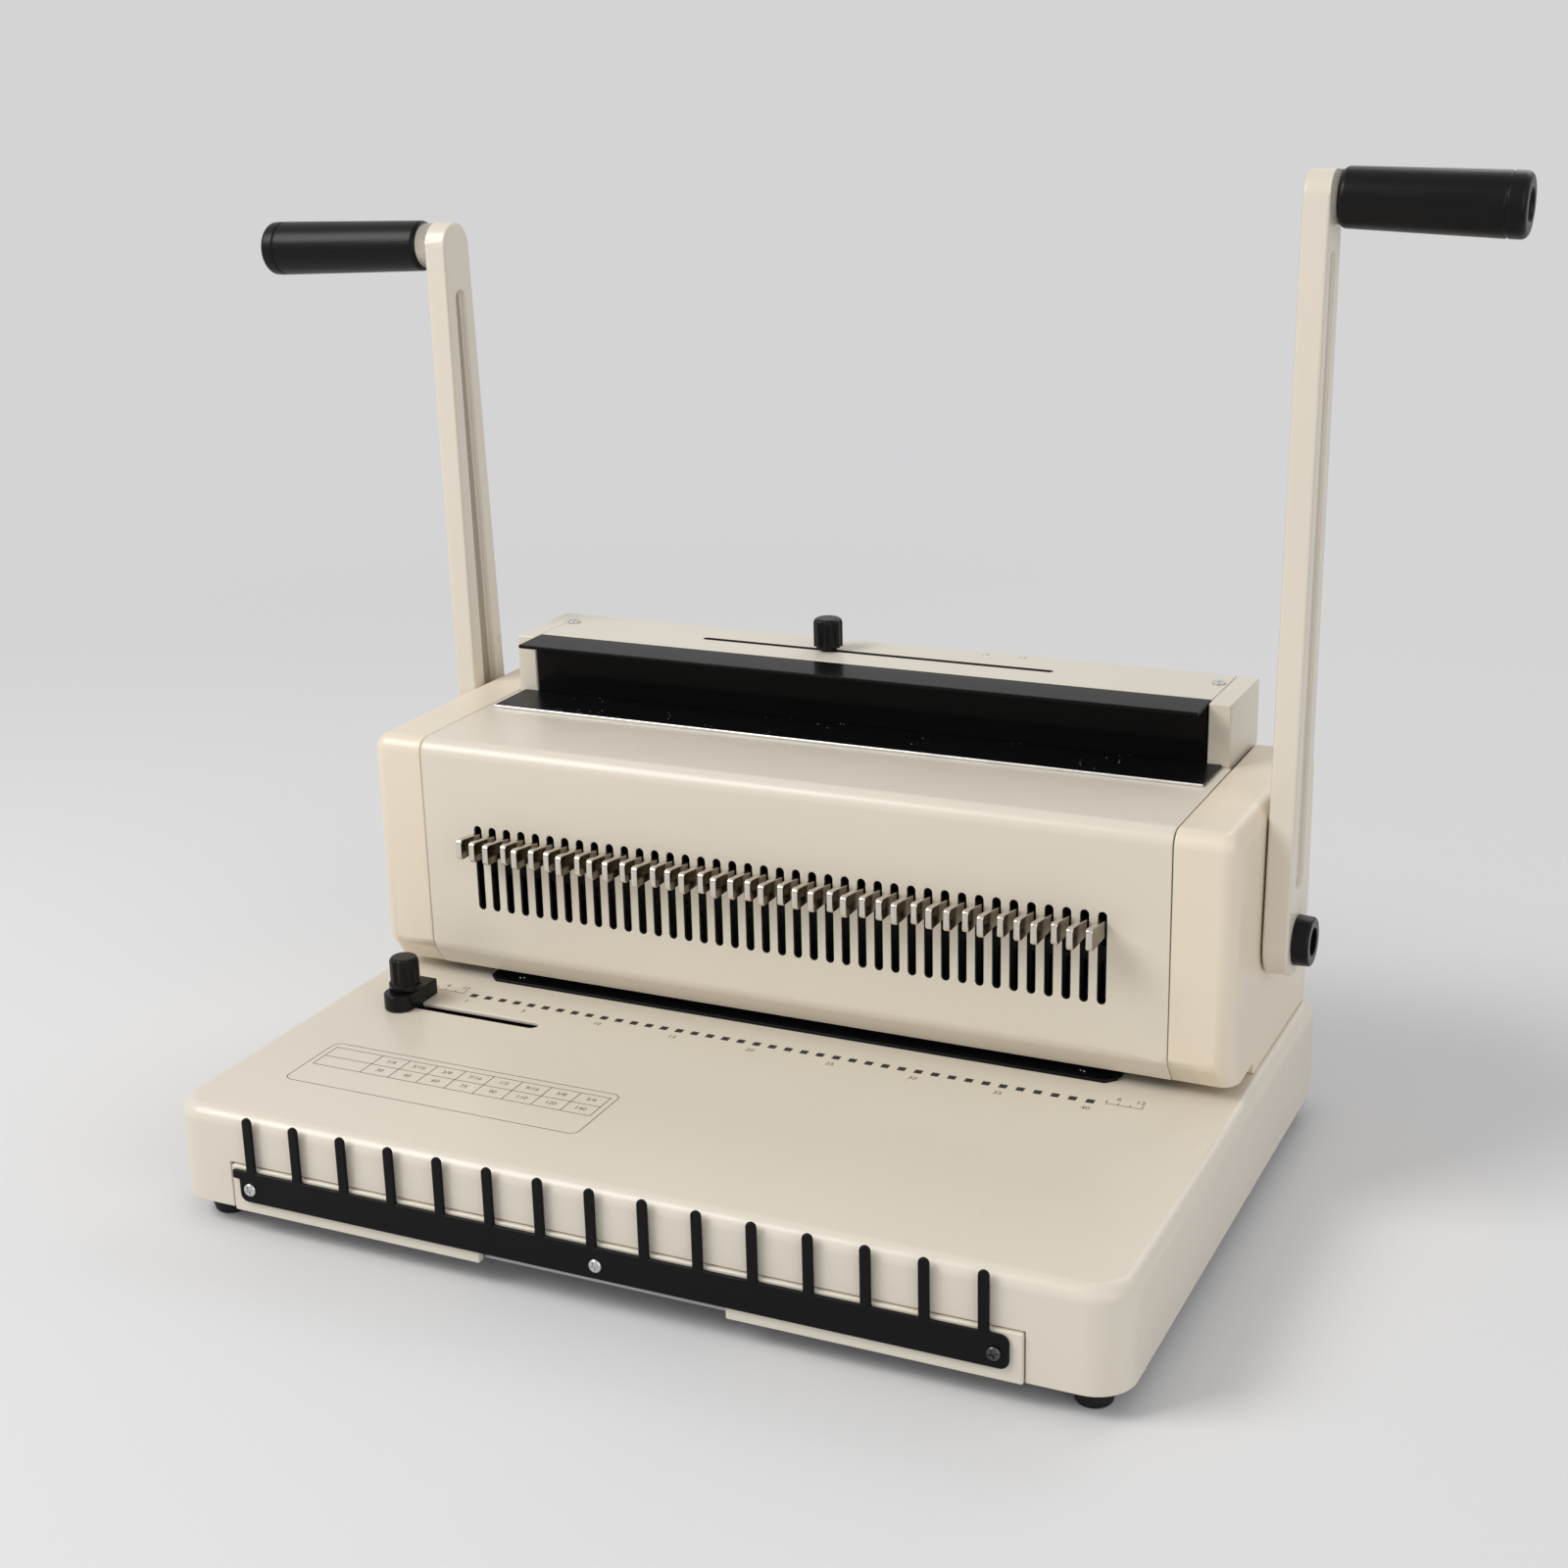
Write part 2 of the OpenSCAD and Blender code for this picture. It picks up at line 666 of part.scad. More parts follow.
// Block behind the slope at the foot of a side cover, with a round outer edge that ends past the cover's side
module cover_slope(d, low) {
    far = housing_d + housing_h;
    edge = arc([cover_out - cover_r, cover_r], cover_r - d + slope_lap, 270, 360, 10);
    translate([0, 0, slope_z]) rotate([atan2(slope_d, slope_z - throat_h), 0, 0]) translate([0, 0, -far])
        linear_extrude(2 * far) polygon(concat([[low - over, d - slope_lap]], edge,
            [[cover_out - d + slope_lap, far], [low - over, far]]));
}
// Side cover with a round corner where three faces meet, open towards the frame when it is moved in
module cover_form(d) {
    r = cover_r - d;
    low = cover_in - (d > 0 ? over : 0);
    x = cover_out - cover_r;
    y0 = cover_r;
    y1 = housing_d - cover_back_gap - cover_r;
    z = housing_h - cover_r;
    edge = concat([[0, -over], [r, -over]], arc([0, z], r, 0, 90));
    intersection() {
        along_x(low, cover_out - low) polygon(cover_foot(d));
        cover_slope(d, low);
        union() {
            along_x(low, x - low) polygon(concat([[y0 - r, -over]], arc([y0, z], r, 180, 90),
                arc([y1, z], r, 90, 0), [[y1 + r, -over]]));
            translate([x, y1, 0]) along_y(0, y1 - y0) polygon(edge);
            translate([x, y1, 0]) rotate_extrude(angle = 90) polygon(edge);
            translate([x, y0, 0]) rotate([0, 0, 270]) rotate_extrude(angle = 90) polygon(edge);
        }
    }
}
module side_cover(shaft_y, shaft_z, shaft_r) {
    difference() {
        cover_form(0);
        cover_form(cover_wall);
        bore_x(cover_out - cover_wall, cover_out, shaft_y, shaft_z, shaft_r + cover_hole_gap);
    }
}
module side_cover_left() {
    placed() color(cover_cream) mirror([1, 0, 0]) side_cover(press_shaft_y, press_shaft_z, press_shaft_r);
}
module side_cover_right() {
    placed() color(cover_cream) side_cover(punch_shaft_y, punch_shaft_z, punch_shaft_r);
}

// Lid and back in one bent sheet, with hangers for the jaw springs
module rear_cover() {
    lid_half = post_in - slide_gap;
    back = housing_d - lid_t;
    placed() color(cream) difference() {
        union() {
            box([-lid_half, lid_front, lid_z - lid_t], [lid_half, housing_d, lid_z]);
            box([-lid_half, back, frame_top - over], [lid_half, housing_d, lid_z - lid_t]);
            box([-panel_half, back, loose_gap], [panel_half, housing_d, frame_top - over]);
            both_sides() box([spring_x - lug_half, spring_y - lug_half, lid_z - lid_t - hanger_h],
                [spring_x + lug_half, spring_y + lug_half, lid_z - lid_t]);
        }
        translate([0, 0, lid_z - lid_t - over]) linear_extrude(lid_t + 2 * over)
            polygon(round_rect(-size_slot_half, size_slot_half, size_y - size_slot_w / 2,
                size_y + size_slot_w / 2, size_slot_w / 2));
        at_lid_screws() bore_z(lid_z - lid_t, lid_z, lid_screw_r + loose_gap);
    }
}
module at_lid_screws() {
    for (x = [-1, 1]) translate([x * (post_in - ledge_w / 2), size_y + ledge_d / 2, 0]) children();
}
// End of the rear housing: a post beside the jaw, hollow from below, with a ledge under the lid
module rear_end() {
    ledge_top = lid_z - lid_t;
    difference() {
        union() {
            box([post_in, post_y, frame_top], [rear_half, housing_d, lid_z]);
            box([post_in - ledge_w, size_y, ledge_top - ledge_h], [post_in, size_y + ledge_d, ledge_top]);
        }
        box([frame_out + seam, post_y + panel_t, frame_top - over],
            [rear_half - panel_t, housing_d - panel_t, lid_z - panel_t]);
        at_lid_screws() bore_z(ledge_top - ledge_h, ledge_top, lid_screw_r + seat_gap);
    }
}
module rear_end_left() { placed() color(cream) mirror([1, 0, 0]) rear_end(); }
module rear_end_right() { placed() color(cream) rear_end(); }
module lid_screws() {
    placed() color(steel) at_lid_screws() {
        translate([0, 0, lid_z - lid_screw_len]) cylinder(r = lid_screw_r, h = lid_screw_len);
        translate([0, 0, lid_z]) difference() {
            cylinder(r = lid_head_r, h = lid_head_h);
            cross_slot(lid_head_r, lid_head_h);
        }
    }
}
// Crossed slots in the top of a screw head
module cross_slot(r, h) {
    len = r * cross_len;
    half = r * cross_half;
    for (a = [cross_turn, cross_turn + 90]) rotate([0, 0, a])
        box([-len, -half, h * cross_floor], [len, half, h + over]);
}

module anvil_plate() {
    half = rear_half - anvil_inset;
    placed() color(black)
        box([-half, post_y - anvil_reach, housing_h], [half, panel_back, housing_h + anvil_t]);
}
module anvil_beam() {
    placed() color(dark_steel) box([-frame_in, panel_back - beam_d, frame_top - beam_h],
        [frame_in, panel_back, frame_top]);
}

// Square holes along the row
module row_holes(side, z0, z1) {
    translate([0, 0, z0]) linear_extrude(z1 - z0) for (i = [1:hole_count])
        translate([hole_x(i), row_y]) square(side, center = true);
}
module die_plate() {
    half = row_half + row_end;
    placed() color(black) difference() {
        linear_extrude(die_t) polygon([[-half + die_corner, die_front], [half - die_corner, die_front],
            [half, die_front + die_corner], [half, die_back], [-half, die_back],
            [-half, die_front + die_corner]]);
        row_holes(pin_side + loose_gap, -over, die_t + over);
    }
}
module punch_guide() {
    placed() color(dark_steel) difference() {
        box([-frame_in, guide_front, throat_h], [frame_in, guide_back, guide_top]);
        row_holes(pin_side + loose_gap, throat_h - over, guide_top + over);
    }
}
module paper_stop() {
    placed() color(dark_steel) box([-row_half - row_end, guide_back, die_t],
        [row_half + row_end, guide_back + stop_t, throat_h + stop_rise]);
}
module spring_beam() {
    placed() color(dark_steel) box([-frame_in, row_y - beam_room, spring_beam_z],
        [frame_in, row_y + beam_room, spring_beam_z + spring_beam_t]);
}
module at_rods() { for (x = [-rod_x, rod_x]) translate([x, row_y, 0]) children(); }
module guide_rods() {
    placed() color(steel) at_rods() translate([0, 0, guide_top])
        cylinder(r = rod_r, h = spring_beam_z - guide_top);
}

// Coil spring between two heights
module coil(z0, z1, coil_r, wire_r, turns) {
    sides = 6;
    rings = turns * 10;
    rise = z1 - z0 - 2 * wire_r;
    points = [for (i = [0:rings], j = [0:sides - 1]) let (a = 360 * turns * i / rings,
        b = 360 * j / sides, r = coil_r + wire_r * cos(b))
        [r * cos(a), r * sin(a), z0 + wire_r + rise * i / rings + wire_r * sin(b)]];
    wall = [for (i = [0:rings - 1], j = [0:sides - 1]) let (p = i * sides + j,
        q = i * sides + (j + 1) % sides) each [[p, q, p + sides], [q, q + sides, p + sides]]];
    last = rings * sides;
    caps = [for (j = [1:sides - 2]) each [[0, j + 1, j], [last, last + j, last + j + 1]]];
    polyhedron(points, concat(wall, caps));
}
module ram_springs() {
    placed() color(steel) at_rods() coil(ram_top + slide_gap, spring_beam_z - slide_gap, rod_r + ram_coil_gap,
        ram_wire_r, ram_turns);
}
module jaw_springs() {
    low = lug_z + lug_h + slide_gap;
    high = lid_z - lid_t - hanger_h - slide_gap;
    placed() color(steel) for (x = [-spring_x, spring_x]) translate([x, spring_y, 0])
        coil(low, high, jaw_coil_r, jaw_wire_r, jaw_turns);
}

// Flanged bushes in the two frame plates
module bushes(y, z, r) {
    both_sides() difference() {
        union() {
            rod_x_dir(frame_in, y, z, r + bush_wall, frame_t);
            rod_x_dir(frame_out, y, z, r + bush_wall + bush_flange, bush_flange_t);
        }
        bore_x(frame_in, frame_out + bush_flange_t, y, z, r + run_gap);
    }
}
module punch_bushes() { placed() color(brass) bushes(punch_shaft_y, punch_shaft_z, punch_shaft_r); }
module press_bushes() { placed() color(brass) bushes(press_shaft_y, press_shaft_z, press_shaft_r); }
module drawer_runners() {
    inner = tray_half + slide_gap;
    placed() color(dark_steel) at_drawer() both_sides()
        box([inner, -deck_depth + base_wall + runner_back, bottom_top],
            [inner + runner_w, -deck_depth + tray_d, bottom_top + runner_h]);
}

// Shafts, pinions and handles
module pinion_pair(x, y, z, m, teeth, shaft_r) {
    both_sides() difference() {
        translate([0, y, z]) along_x(x - pinion_w / 2, pinion_w) polygon(pinion_points(m, teeth));
        bore_x(x - pinion_w / 2, x + pinion_w / 2, y, z, shaft_r + seat_gap);
    }
}
// Arm outline: two round ends and the straight sides that touch both
function arm_points(r0, r1, v0, v1) = let (a = asin((r0 - r1) / (v1 - v0)))
    concat(arc([0, v0], r0, 180 - a, 360 + a, 20), arc([0, v1], r1, a, 180 - a, 12));
// Turns what is on the grip's axis down about the outer face of the arm
module drooped() {
    translate([arm_out, 0, 0]) rotate([0, grip_droop, 0]) translate([-arm_out, 0, 0]) children();
}
// Arm with a groove in each face and a boss of length boss under its grip
module arm(y, z, lean, shaft_r, boss) {
    difference() {
        translate([0, y, z]) rotate([lean, 0, 0]) difference() {
            union() {
                along_x(arm_in, arm_t) polygon(arm_points(arm_r_low, arm_r_high, 0, arm_len));
                translate([0, 0, arm_len]) drooped()
                    rod_x_dir(arm_out - grip_boss_sink, 0, 0, grip_boss_r, grip_boss_sink + boss);
            }
            for (x = [arm_in - over, arm_out - groove_depth])
                along_x(x, groove_depth + over)
                    polygon(arm_points(groove_low_r, groove_high_r, groove_low, arm_len - groove_high));
            translate([0, 0, arm_len]) drooped()
                rod_x_dir(arm_in + stud_in, 0, 0, stud_r + seat_gap, arm_t - stud_in + boss + over);
        }
        bore_x(arm_in, arm_out, y, z, shaft_r + seat_gap);
    }
}
module hub_cap(y, z) {
    recess_r = hub_r * recess_share;
    floor_z = hub_len - hub_recess;
    translate([arm_out, y, z]) rotate([0, 90, 0]) rotate_extrude() polygon(concat([[0, 0], [hub_r, 0]],
        arc([hub_r - hub_foot - hub_soft, hub_len - hub_soft], hub_soft, 0, 90, 4),
        [[recess_r, hub_len], [recess_r, floor_z], [0, floor_z]]));
}
module at_grip(y, z, lean) {
    translate([0, y, z]) rotate([lean, 0, 0]) translate([0, 0, arm_len]) drooped() children();
}
module grip_stud(boss, len) {
    rod_x_dir(arm_in + stud_in, 0, 0, stud_r, arm_t - stud_in + boss + len - grip_end);
}
// Grip that widens towards its outer end, with a bead there and a bore for the stud
module grip_body(x, len) {
    bore_r = stud_r + seat_gap;
    bore_end = len - grip_end + seat_gap;
    bead = len - bead_in;
    recess_r = grip_r * recess_share;
    floor_x = len - grip_recess;
    translate([x, 0, 0]) rotate([0, 90, 0]) rotate_extrude() polygon(concat(
        [[bore_r, 0]], arc([grip_r_in - grip_soft, grip_soft], grip_soft, 270, 360, 6),
        [[grip_r, bead], [grip_r - bead_d, bead + bead_d], [grip_r, bead + 2 * bead_d]],
        arc([grip_r - grip_soft, len - grip_soft], grip_soft, 0, 90, 6),
        [[recess_r, len], [recess_r - bead_d, floor_x], [0, floor_x], [0, bore_end], [bore_r, bore_end]]));
}
module punch_shaft() {
    placed() color(steel)
        rod_x_dir(-shaft_end, punch_shaft_y, punch_shaft_z, punch_shaft_r, shaft_end + arm_out);
}
module punch_pinions() {
    placed() color(dark_steel)
        pinion_pair(pinion_x, punch_shaft_y, punch_shaft_z, punch_module, punch_teeth, punch_shaft_r);
}
module punch_arm() {
    placed() color(cream) arm(punch_shaft_y, punch_shaft_z, -punch_lean, punch_shaft_r, punch_boss);
}
module punch_hub_cap() { placed() color(black) hub_cap(punch_shaft_y, punch_shaft_z); }
module punch_grip_stud() {
    placed() color(steel) at_grip(punch_shaft_y, punch_shaft_z, -punch_lean)
        grip_stud(punch_boss, punch_grip_len);
}
module punch_grip() {
    placed() color(black) at_grip(punch_shaft_y, punch_shaft_z, -punch_lean)
        grip_body(punch_grip_x, punch_grip_len);
}
module press_shaft() {
    placed() color(steel) mirror([1, 0, 0])
        rod_x_dir(-shaft_end, press_shaft_y, press_shaft_z, press_shaft_r, shaft_end + arm_out);
}
module press_pinions() {
    placed() color(dark_steel)
        pinion_pair(press_pinion_x, press_shaft_y, press_shaft_z, press_module, press_teeth, press_shaft_r);
}
module press_arm() {
    placed() color(cream) mirror([1, 0, 0])
        arm(press_shaft_y, press_shaft_z, press_lean, press_shaft_r, press_boss);
}
module press_hub_cap() { placed() color(black) mirror([1, 0, 0]) hub_cap(press_shaft_y, press_shaft_z); }
module press_grip_stud() {
    placed() color(steel) mirror([1, 0, 0]) at_grip(press_shaft_y, press_shaft_z, press_lean)
        grip_stud(press_boss, press_grip_len);
}
module press_grip() {
    placed() color(black) mirror([1, 0, 0]) at_grip(press_shaft_y, press_shaft_z, press_lean)
        grip_body(press_grip_x, press_grip_len);
}

// Ram: a bar above the tabs, a lifter under the pin heads and a rack at each end
module rod_bores(z0, z1) {
    at_rods() bore_z(z0, z1, rod_r + run_gap);
}
module ram_bar() {
    placed() color(dark_steel) difference() {
        union() {
            box([-cheek_out, ram_front, ram_z], [cheek_out, ram_back, ram_top]);
            both_sides() box([cheek_out - cheek_t, ram_front, lifter_z], [cheek_out, ram_back, ram_z]);
        }
        rod_bores(ram_z, ram_top);
    }
}
module lifter_bar() {
    placed() color(dark_steel) difference() {
        box([-cheek_out + cheek_t, lifter_front, lifter_z], [cheek_out - cheek_t, ram_back, lifter_top]);
        row_holes(pin_side + loose_gap, lifter_z - over, lifter_top + over);
        rod_bores(lifter_z, lifter_top);
    }
}
module ram_racks() {
    placed() color(dark_steel) both_sides() along_x(pinion_x - rack_w / 2, rack_w)
        polygon(rack_points(punch_module, rack_line, ram_back, lifter_z - rack_low, ram_top - rack_top,
            punch_shaft_z));
}
module punch_pins() {
    placed() color(steel) {
        row_holes(pin_side, pin_tip_z, lifter_top);
        row_holes(pin_head_side, lifter_top, lifter_top + pin_head_h);
    }
}
// How far in tab i sits, spread by the golden angle so that neighbours differ
function tab_in(i) = tab_play * (1 - cos(i * golden_angle)) / 2;
// Pull tab: a plate with round front corners that narrows to the slot, and a block over the pin head
module pull_tab(i) {
    low = tab_z + tab_neck;
    block = row_y - pin_head_side / 2 - block_lap;
    block_end = row_y + pin_head_side / 2 + 3 * block_lap;
    translate([0, tab_in(i), 0]) along_x(hole_x(i) - tab_t / 2, tab_t) polygon(concat(
        arc([-tab_reach + tab_round, tab_top - tab_round], tab_round, 90, 180, 5),
        arc([-tab_reach + tab_round, tab_z + tab_round], tab_round, 180, 270, 5),
        [[-tab_neck, tab_z], [0, low], [block, low], [block, tab_z], [block_end, tab_z],
            [block_end, tab_top], [block, tab_top], [block, tab_top - tab_drop], [0, tab_top - tab_drop]]));
}
module pull_tabs() {
    placed() color(steel) for (i = [free_tab_count + 1:hole_count - free_tab_count]) pull_tab(i);
}
module tab_left_1() { placed() color(steel) pull_tab(1); }
module tab_left_2() { placed() color(steel) pull_tab(2); }
module tab_left_3() { placed() color(steel) pull_tab(3); }
module tab_right_1() { placed() color(steel) pull_tab(hole_count); }
module tab_right_2() { placed() color(steel) pull_tab(hole_count - 1); }
module tab_right_3() { placed() color(steel) pull_tab(hole_count - 2); }

// Press jaw: a flange over the loops, a web behind them and lugs for the springs
module press_jaw() {
    web_back = web_y + web_t;
    lug_in = spring_x - lug_half;
    lug_out = spring_x + lug_half;
    placed() color(black) {
        box([-jaw_half, flange_front, lid_z - flange_t], [jaw_half, lid_front - slide_gap, lid_z]);
        box([-web_half, web_y, housing_h - web_lap], [web_half, web_back, lid_z - flange_t]);
        both_sides() {
            box([lug_in, web_back, lug_z], [lug_out, web_back + strap_t, housing_h + strap_lap]);
            box([lug_in, web_back, lug_z], [lug_out, spring_y + lug_half, lug_z + lug_h]);
        }
    }
}
module jaw_racks() {
    placed() color(dark_steel) both_sides() along_x(press_pinion_x - rack_w / 2, rack_w)
        polygon(rack_points(press_module, jaw_line, web_y + web_t, press_shaft_z - jaw_rack_low,
            lid_z - jaw_rack_top, press_shaft_z));
}

// Fluted knob on a round foot and a stud, the foot's lower face at z = 0
module knob(foot_radius, foot_height, stud_radius, stud_len) {
    dome = 2.5;
    flute_count = 8;
    flute_r = 2.6;
    flute_out = 1.8;
    difference() {
        rotate_extrude() polygon(concat([[0, foot_height], [knob_r, foot_height]],
            arc([knob_r - dome, knob_h - dome], dome, 0, 80, 6), [[0, knob_h]]));
        for (i = [0:flute_count - 1]) rotate([0, 0, i * 360 / flute_count])
            translate([knob_r + flute_out, 0, 0]) bore_z(0, knob_h, flute_r);
    }
    cylinder(r = foot_radius, h = foot_height);
    translate([0, 0, -stud_len]) cylinder(r = stud_radius, h = stud_len);
}
module size_block() {
    top = lid_z - lid_t - loose_gap;
    placed() color(dark_steel) difference() {
        box([size_x - size_block_half, size_y - size_block_front, top - size_block_t],
            [size_x + size_block_half, size_y + size_block_back, top]);
        translate([size_x, size_y, 0]) bore_z(top - size_block_t, top, size_stud_r + run_gap);
    }
}
module size_knob() {
    placed() color(black) translate([size_x, size_y, lid_z + loose_gap])
        knob(size_foot_r, size_foot_h, size_stud_r, lid_t + 2 * loose_gap + size_block_t);
}
module margin_block() {
    tongue = margin_slot_w / 2 - loose_gap;
    placed() color(black) difference() {
        union() {
            translate([0, 0, loose_gap]) linear_extrude(margin_h) polygon(concat(
                arc([margin_x, -margin_front + margin_w / 2], margin_w / 2, 180, 360, 12),
                [[margin_x + margin_w / 2, -margin_back], [margin_x - margin_w / 2, -margin_back]]));
            box([margin_x - margin_w / 2, -margin_y - tongue, -base_wall - loose_gap],
                [margin_x + margin_w / 2, -margin_y + tongue, loose_gap]);
        }
        translate([margin_x, -margin_y, 0]) bore_z(-base_wall, margin_h, margin_stud_r + run_gap);
    }
}
module margin_nut() {
    top = -base_wall - loose_gap;
    placed() color(dark_steel) difference() {
        box([margin_x - margin_nut_half, -margin_y - margin_nut_half, top - margin_nut_t],
            [margin_x + margin_nut_half, -margin_y + margin_nut_half, top]);
        translate([margin_x, -margin_y, 0]) bore_z(top - margin_nut_t, top, margin_stud_r + run_gap);
    }
}
module margin_knob() {
    stud_len = margin_h + 3 * loose_gap + base_wall + margin_nut_t;
    placed() color(black) translate([margin_x, -margin_y, margin_h + 2 * loose_gap])
        knob(margin_foot_r, margin_foot_h, margin_stud_r, stud_len);
}

// Chip drawer with the comb on its front
module chip_tray() {
    z0 = bottom_top + loose_gap;
    back = -deck_depth + tray_d;
    placed() color(dark_steel) at_drawer() difference() {
        box([-tray_half, drawer_back_y, z0], [tray_half, back, tray_top]);
        box([-tray_half + tray_wall, drawer_back_y + tray_wall, z0 + tray_wall],
            [tray_half - tray_wall, back - tray_wall, tray_top + over]);
    }
}
module at_comb_screws() {
    for (x = [-comb_screw_x, 0, comb_screw_x])
        translate([x, drawer_face_y, comb_screw_z]) rotate([90, 0, 0]) children();
}
module drawer_front() {
    placed() color(cream) at_drawer() difference() {
        along_y(drawer_back_y, drawer_t) polygon([[-drawer_half, front_z], [-notch_half, front_z],
            [-notch_half, front_z + notch_h], [notch_half, front_z + notch_h], [notch_half, front_z],
            [drawer_half, front_z], [drawer_half, front_top], [-drawer_half, front_top]]);
        at_comb_screws() bore_z(-drawer_t, 0, comb_screw_r + seat_gap);
    }
}
module comb_rack() {
    tip = finger_w / 2;
    end = comb_half - comb_corner;
    low = comb_z + comb_corner;
    fingers = [for (k = [finger_count - 1:-1:0])
        let (x = (k - (finger_count - 1) / 2) * finger_pitch + finger_shift)
        each concat([[x + tip, comb_top]], arc([x, comb_top + finger_len - tip], tip, 0, 180, 10),
            [[x - tip, comb_top]])];
    placed() color(black) at_drawer() difference() {
        along_y(drawer_face_y, comb_t) polygon(concat(arc([-end, low], comb_corner, 180, 270, 6),
            arc([end, low], comb_corner, 270, 360, 6),
            arc([end, comb_top - comb_corner], comb_corner, 0, 90, 6), fingers,
            [[-comb_half - comb_lug, comb_top], [-comb_half - comb_lug, comb_top - comb_lug_h],
                [-comb_half, comb_top - comb_lug_h]]));
        at_comb_screws() bore_z(0, comb_t, comb_screw_r + seat_gap);
    }
}
module comb_screws() {
    placed() color(steel) at_drawer() at_comb_screws() {
        translate([0, 0, comb_t]) difference() {
            rotate_extrude() polygon(concat([[0, 0], [comb_head_r, 0]],
                arc([comb_head_r - comb_screw_dome, comb_screw_head - comb_screw_dome], comb_screw_dome,
                    0, 90, 5), [[0, comb_screw_head]]));
            cross_slot(comb_head_r, comb_screw_head);
        }
        translate([0, 0, -drawer_t + seam]) cylinder(r = comb_screw_r, h = drawer_t - seam + comb_t);
    }
}

base_shell();
bottom_plate();
feet();
foot_screws();
frame_left();
frame_right();
frame_screws();
front_panel();
side_cover_left();
side_cover_right();
rear_cover();
rear_end_left();
rear_end_right();
lid_screws();
anvil_plate();
anvil_beam();
die_plate();
punch_guide();
paper_stop();
spring_beam();
guide_rods();
ram_springs();
jaw_springs();
punch_bushes();
press_bushes();
drawer_runners();
punch_shaft();
punch_pinions();
punch_arm();
punch_hub_cap();
punch_grip_stud();
punch_grip();
ram_bar();
lifter_bar();
ram_racks();
punch_pins();
pull_tabs();
tab_left_1();
tab_left_2();
tab_left_3();
tab_right_1();
tab_right_2();
tab_right_3();
press_shaft();
press_pinions();
press_arm();
press_hub_cap();
press_grip_stud();
press_grip();
press_jaw();
jaw_racks();
size_block();
size_knob();
margin_block();
margin_nut();
margin_knob();
chip_tray();
drawer_front();
comb_rack();
comb_screws();
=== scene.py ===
"""Desk wire binding machine: eased shells, finishes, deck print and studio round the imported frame.

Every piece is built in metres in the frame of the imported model. Sizes that are fields of the classes
below are in millimetres, and places are counted from the layout's zero: the middle of the hole row, the
front of the punch housing and the top of the deck. The studio's own sizes are in metres.
"""

from __future__ import annotations

import json
import logging
import math
from collections.abc import Callable
from dataclasses import dataclass, replace
from enum import Enum

import bmesh
import bpy
from mathutils import Matrix, Vector

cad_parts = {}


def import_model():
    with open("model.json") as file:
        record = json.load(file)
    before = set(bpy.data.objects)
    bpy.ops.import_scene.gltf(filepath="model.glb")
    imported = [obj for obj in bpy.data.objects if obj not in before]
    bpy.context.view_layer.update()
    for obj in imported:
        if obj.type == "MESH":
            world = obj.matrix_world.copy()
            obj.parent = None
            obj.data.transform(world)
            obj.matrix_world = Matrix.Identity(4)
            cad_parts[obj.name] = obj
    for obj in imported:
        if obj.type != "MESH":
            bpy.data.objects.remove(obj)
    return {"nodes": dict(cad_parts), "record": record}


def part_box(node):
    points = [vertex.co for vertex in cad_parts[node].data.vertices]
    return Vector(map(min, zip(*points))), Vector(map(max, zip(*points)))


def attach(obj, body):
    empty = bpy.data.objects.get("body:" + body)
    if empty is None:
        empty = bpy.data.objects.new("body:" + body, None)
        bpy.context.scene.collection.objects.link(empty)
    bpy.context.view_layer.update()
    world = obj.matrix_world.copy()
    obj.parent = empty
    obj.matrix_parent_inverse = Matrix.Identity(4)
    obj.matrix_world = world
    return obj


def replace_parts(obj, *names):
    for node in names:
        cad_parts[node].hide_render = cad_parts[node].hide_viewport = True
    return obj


LOG = logging.getLogger("binding_machine")
MM = 0.001
BASE_BODY = "base"
WELD = 2e-6
FLAT = math.radians(0.5)
CREASE = math.radians(28)
SOFT_CREASE = math.radians(10)
SHARP = math.radians(62)
NOISE_MIDDLE = 0.5
TONE_DETAIL = 4.0
SMUDGE_DETAIL = 5.0
SMUDGE_WARP = 0.6
GRAIN_DETAIL = 2.0
LINE_DETAIL = 3.0
BAND_DETAIL = 4.0
PATCH_SCALE = 28.0
PATCH_DETAIL = 2.0
PATCH_LIMIT = 0.52
UPWARD = 0.6
SIDE_START = 0.6
SIDE_FULL = 0.95

Color = tuple[float, float, float]
Point = tuple[float, float, float]
PlaceTest = Callable[[Vector], bool]
Node = bpy.types.Node
Socket = bpy.types.NodeSocket
Shape = bmesh.types.BMesh


class Slot(str, Enum):
    """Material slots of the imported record."""

    CREAM = "cream_paint"
    COVER = "cover_plastic"
    BLACK = "black_paint"
    MOULDED = "black_plastic"
    GRIP = "grip_plastic"
    RUBBER = "rubber"
    NICKEL = "bright_steel"
    ZINC = "screw_steel"
    SHEET = "frame_steel"
    TOOL = "tool_steel"
    SHAFT = "shaft_steel"
    BRASS = "bush_brass"


class Axis(Enum):
    """Axes of the frame, by the socket that a Separate XYZ node gives them."""

    X = "X"
    Y = "Y"
    Z = "Z"


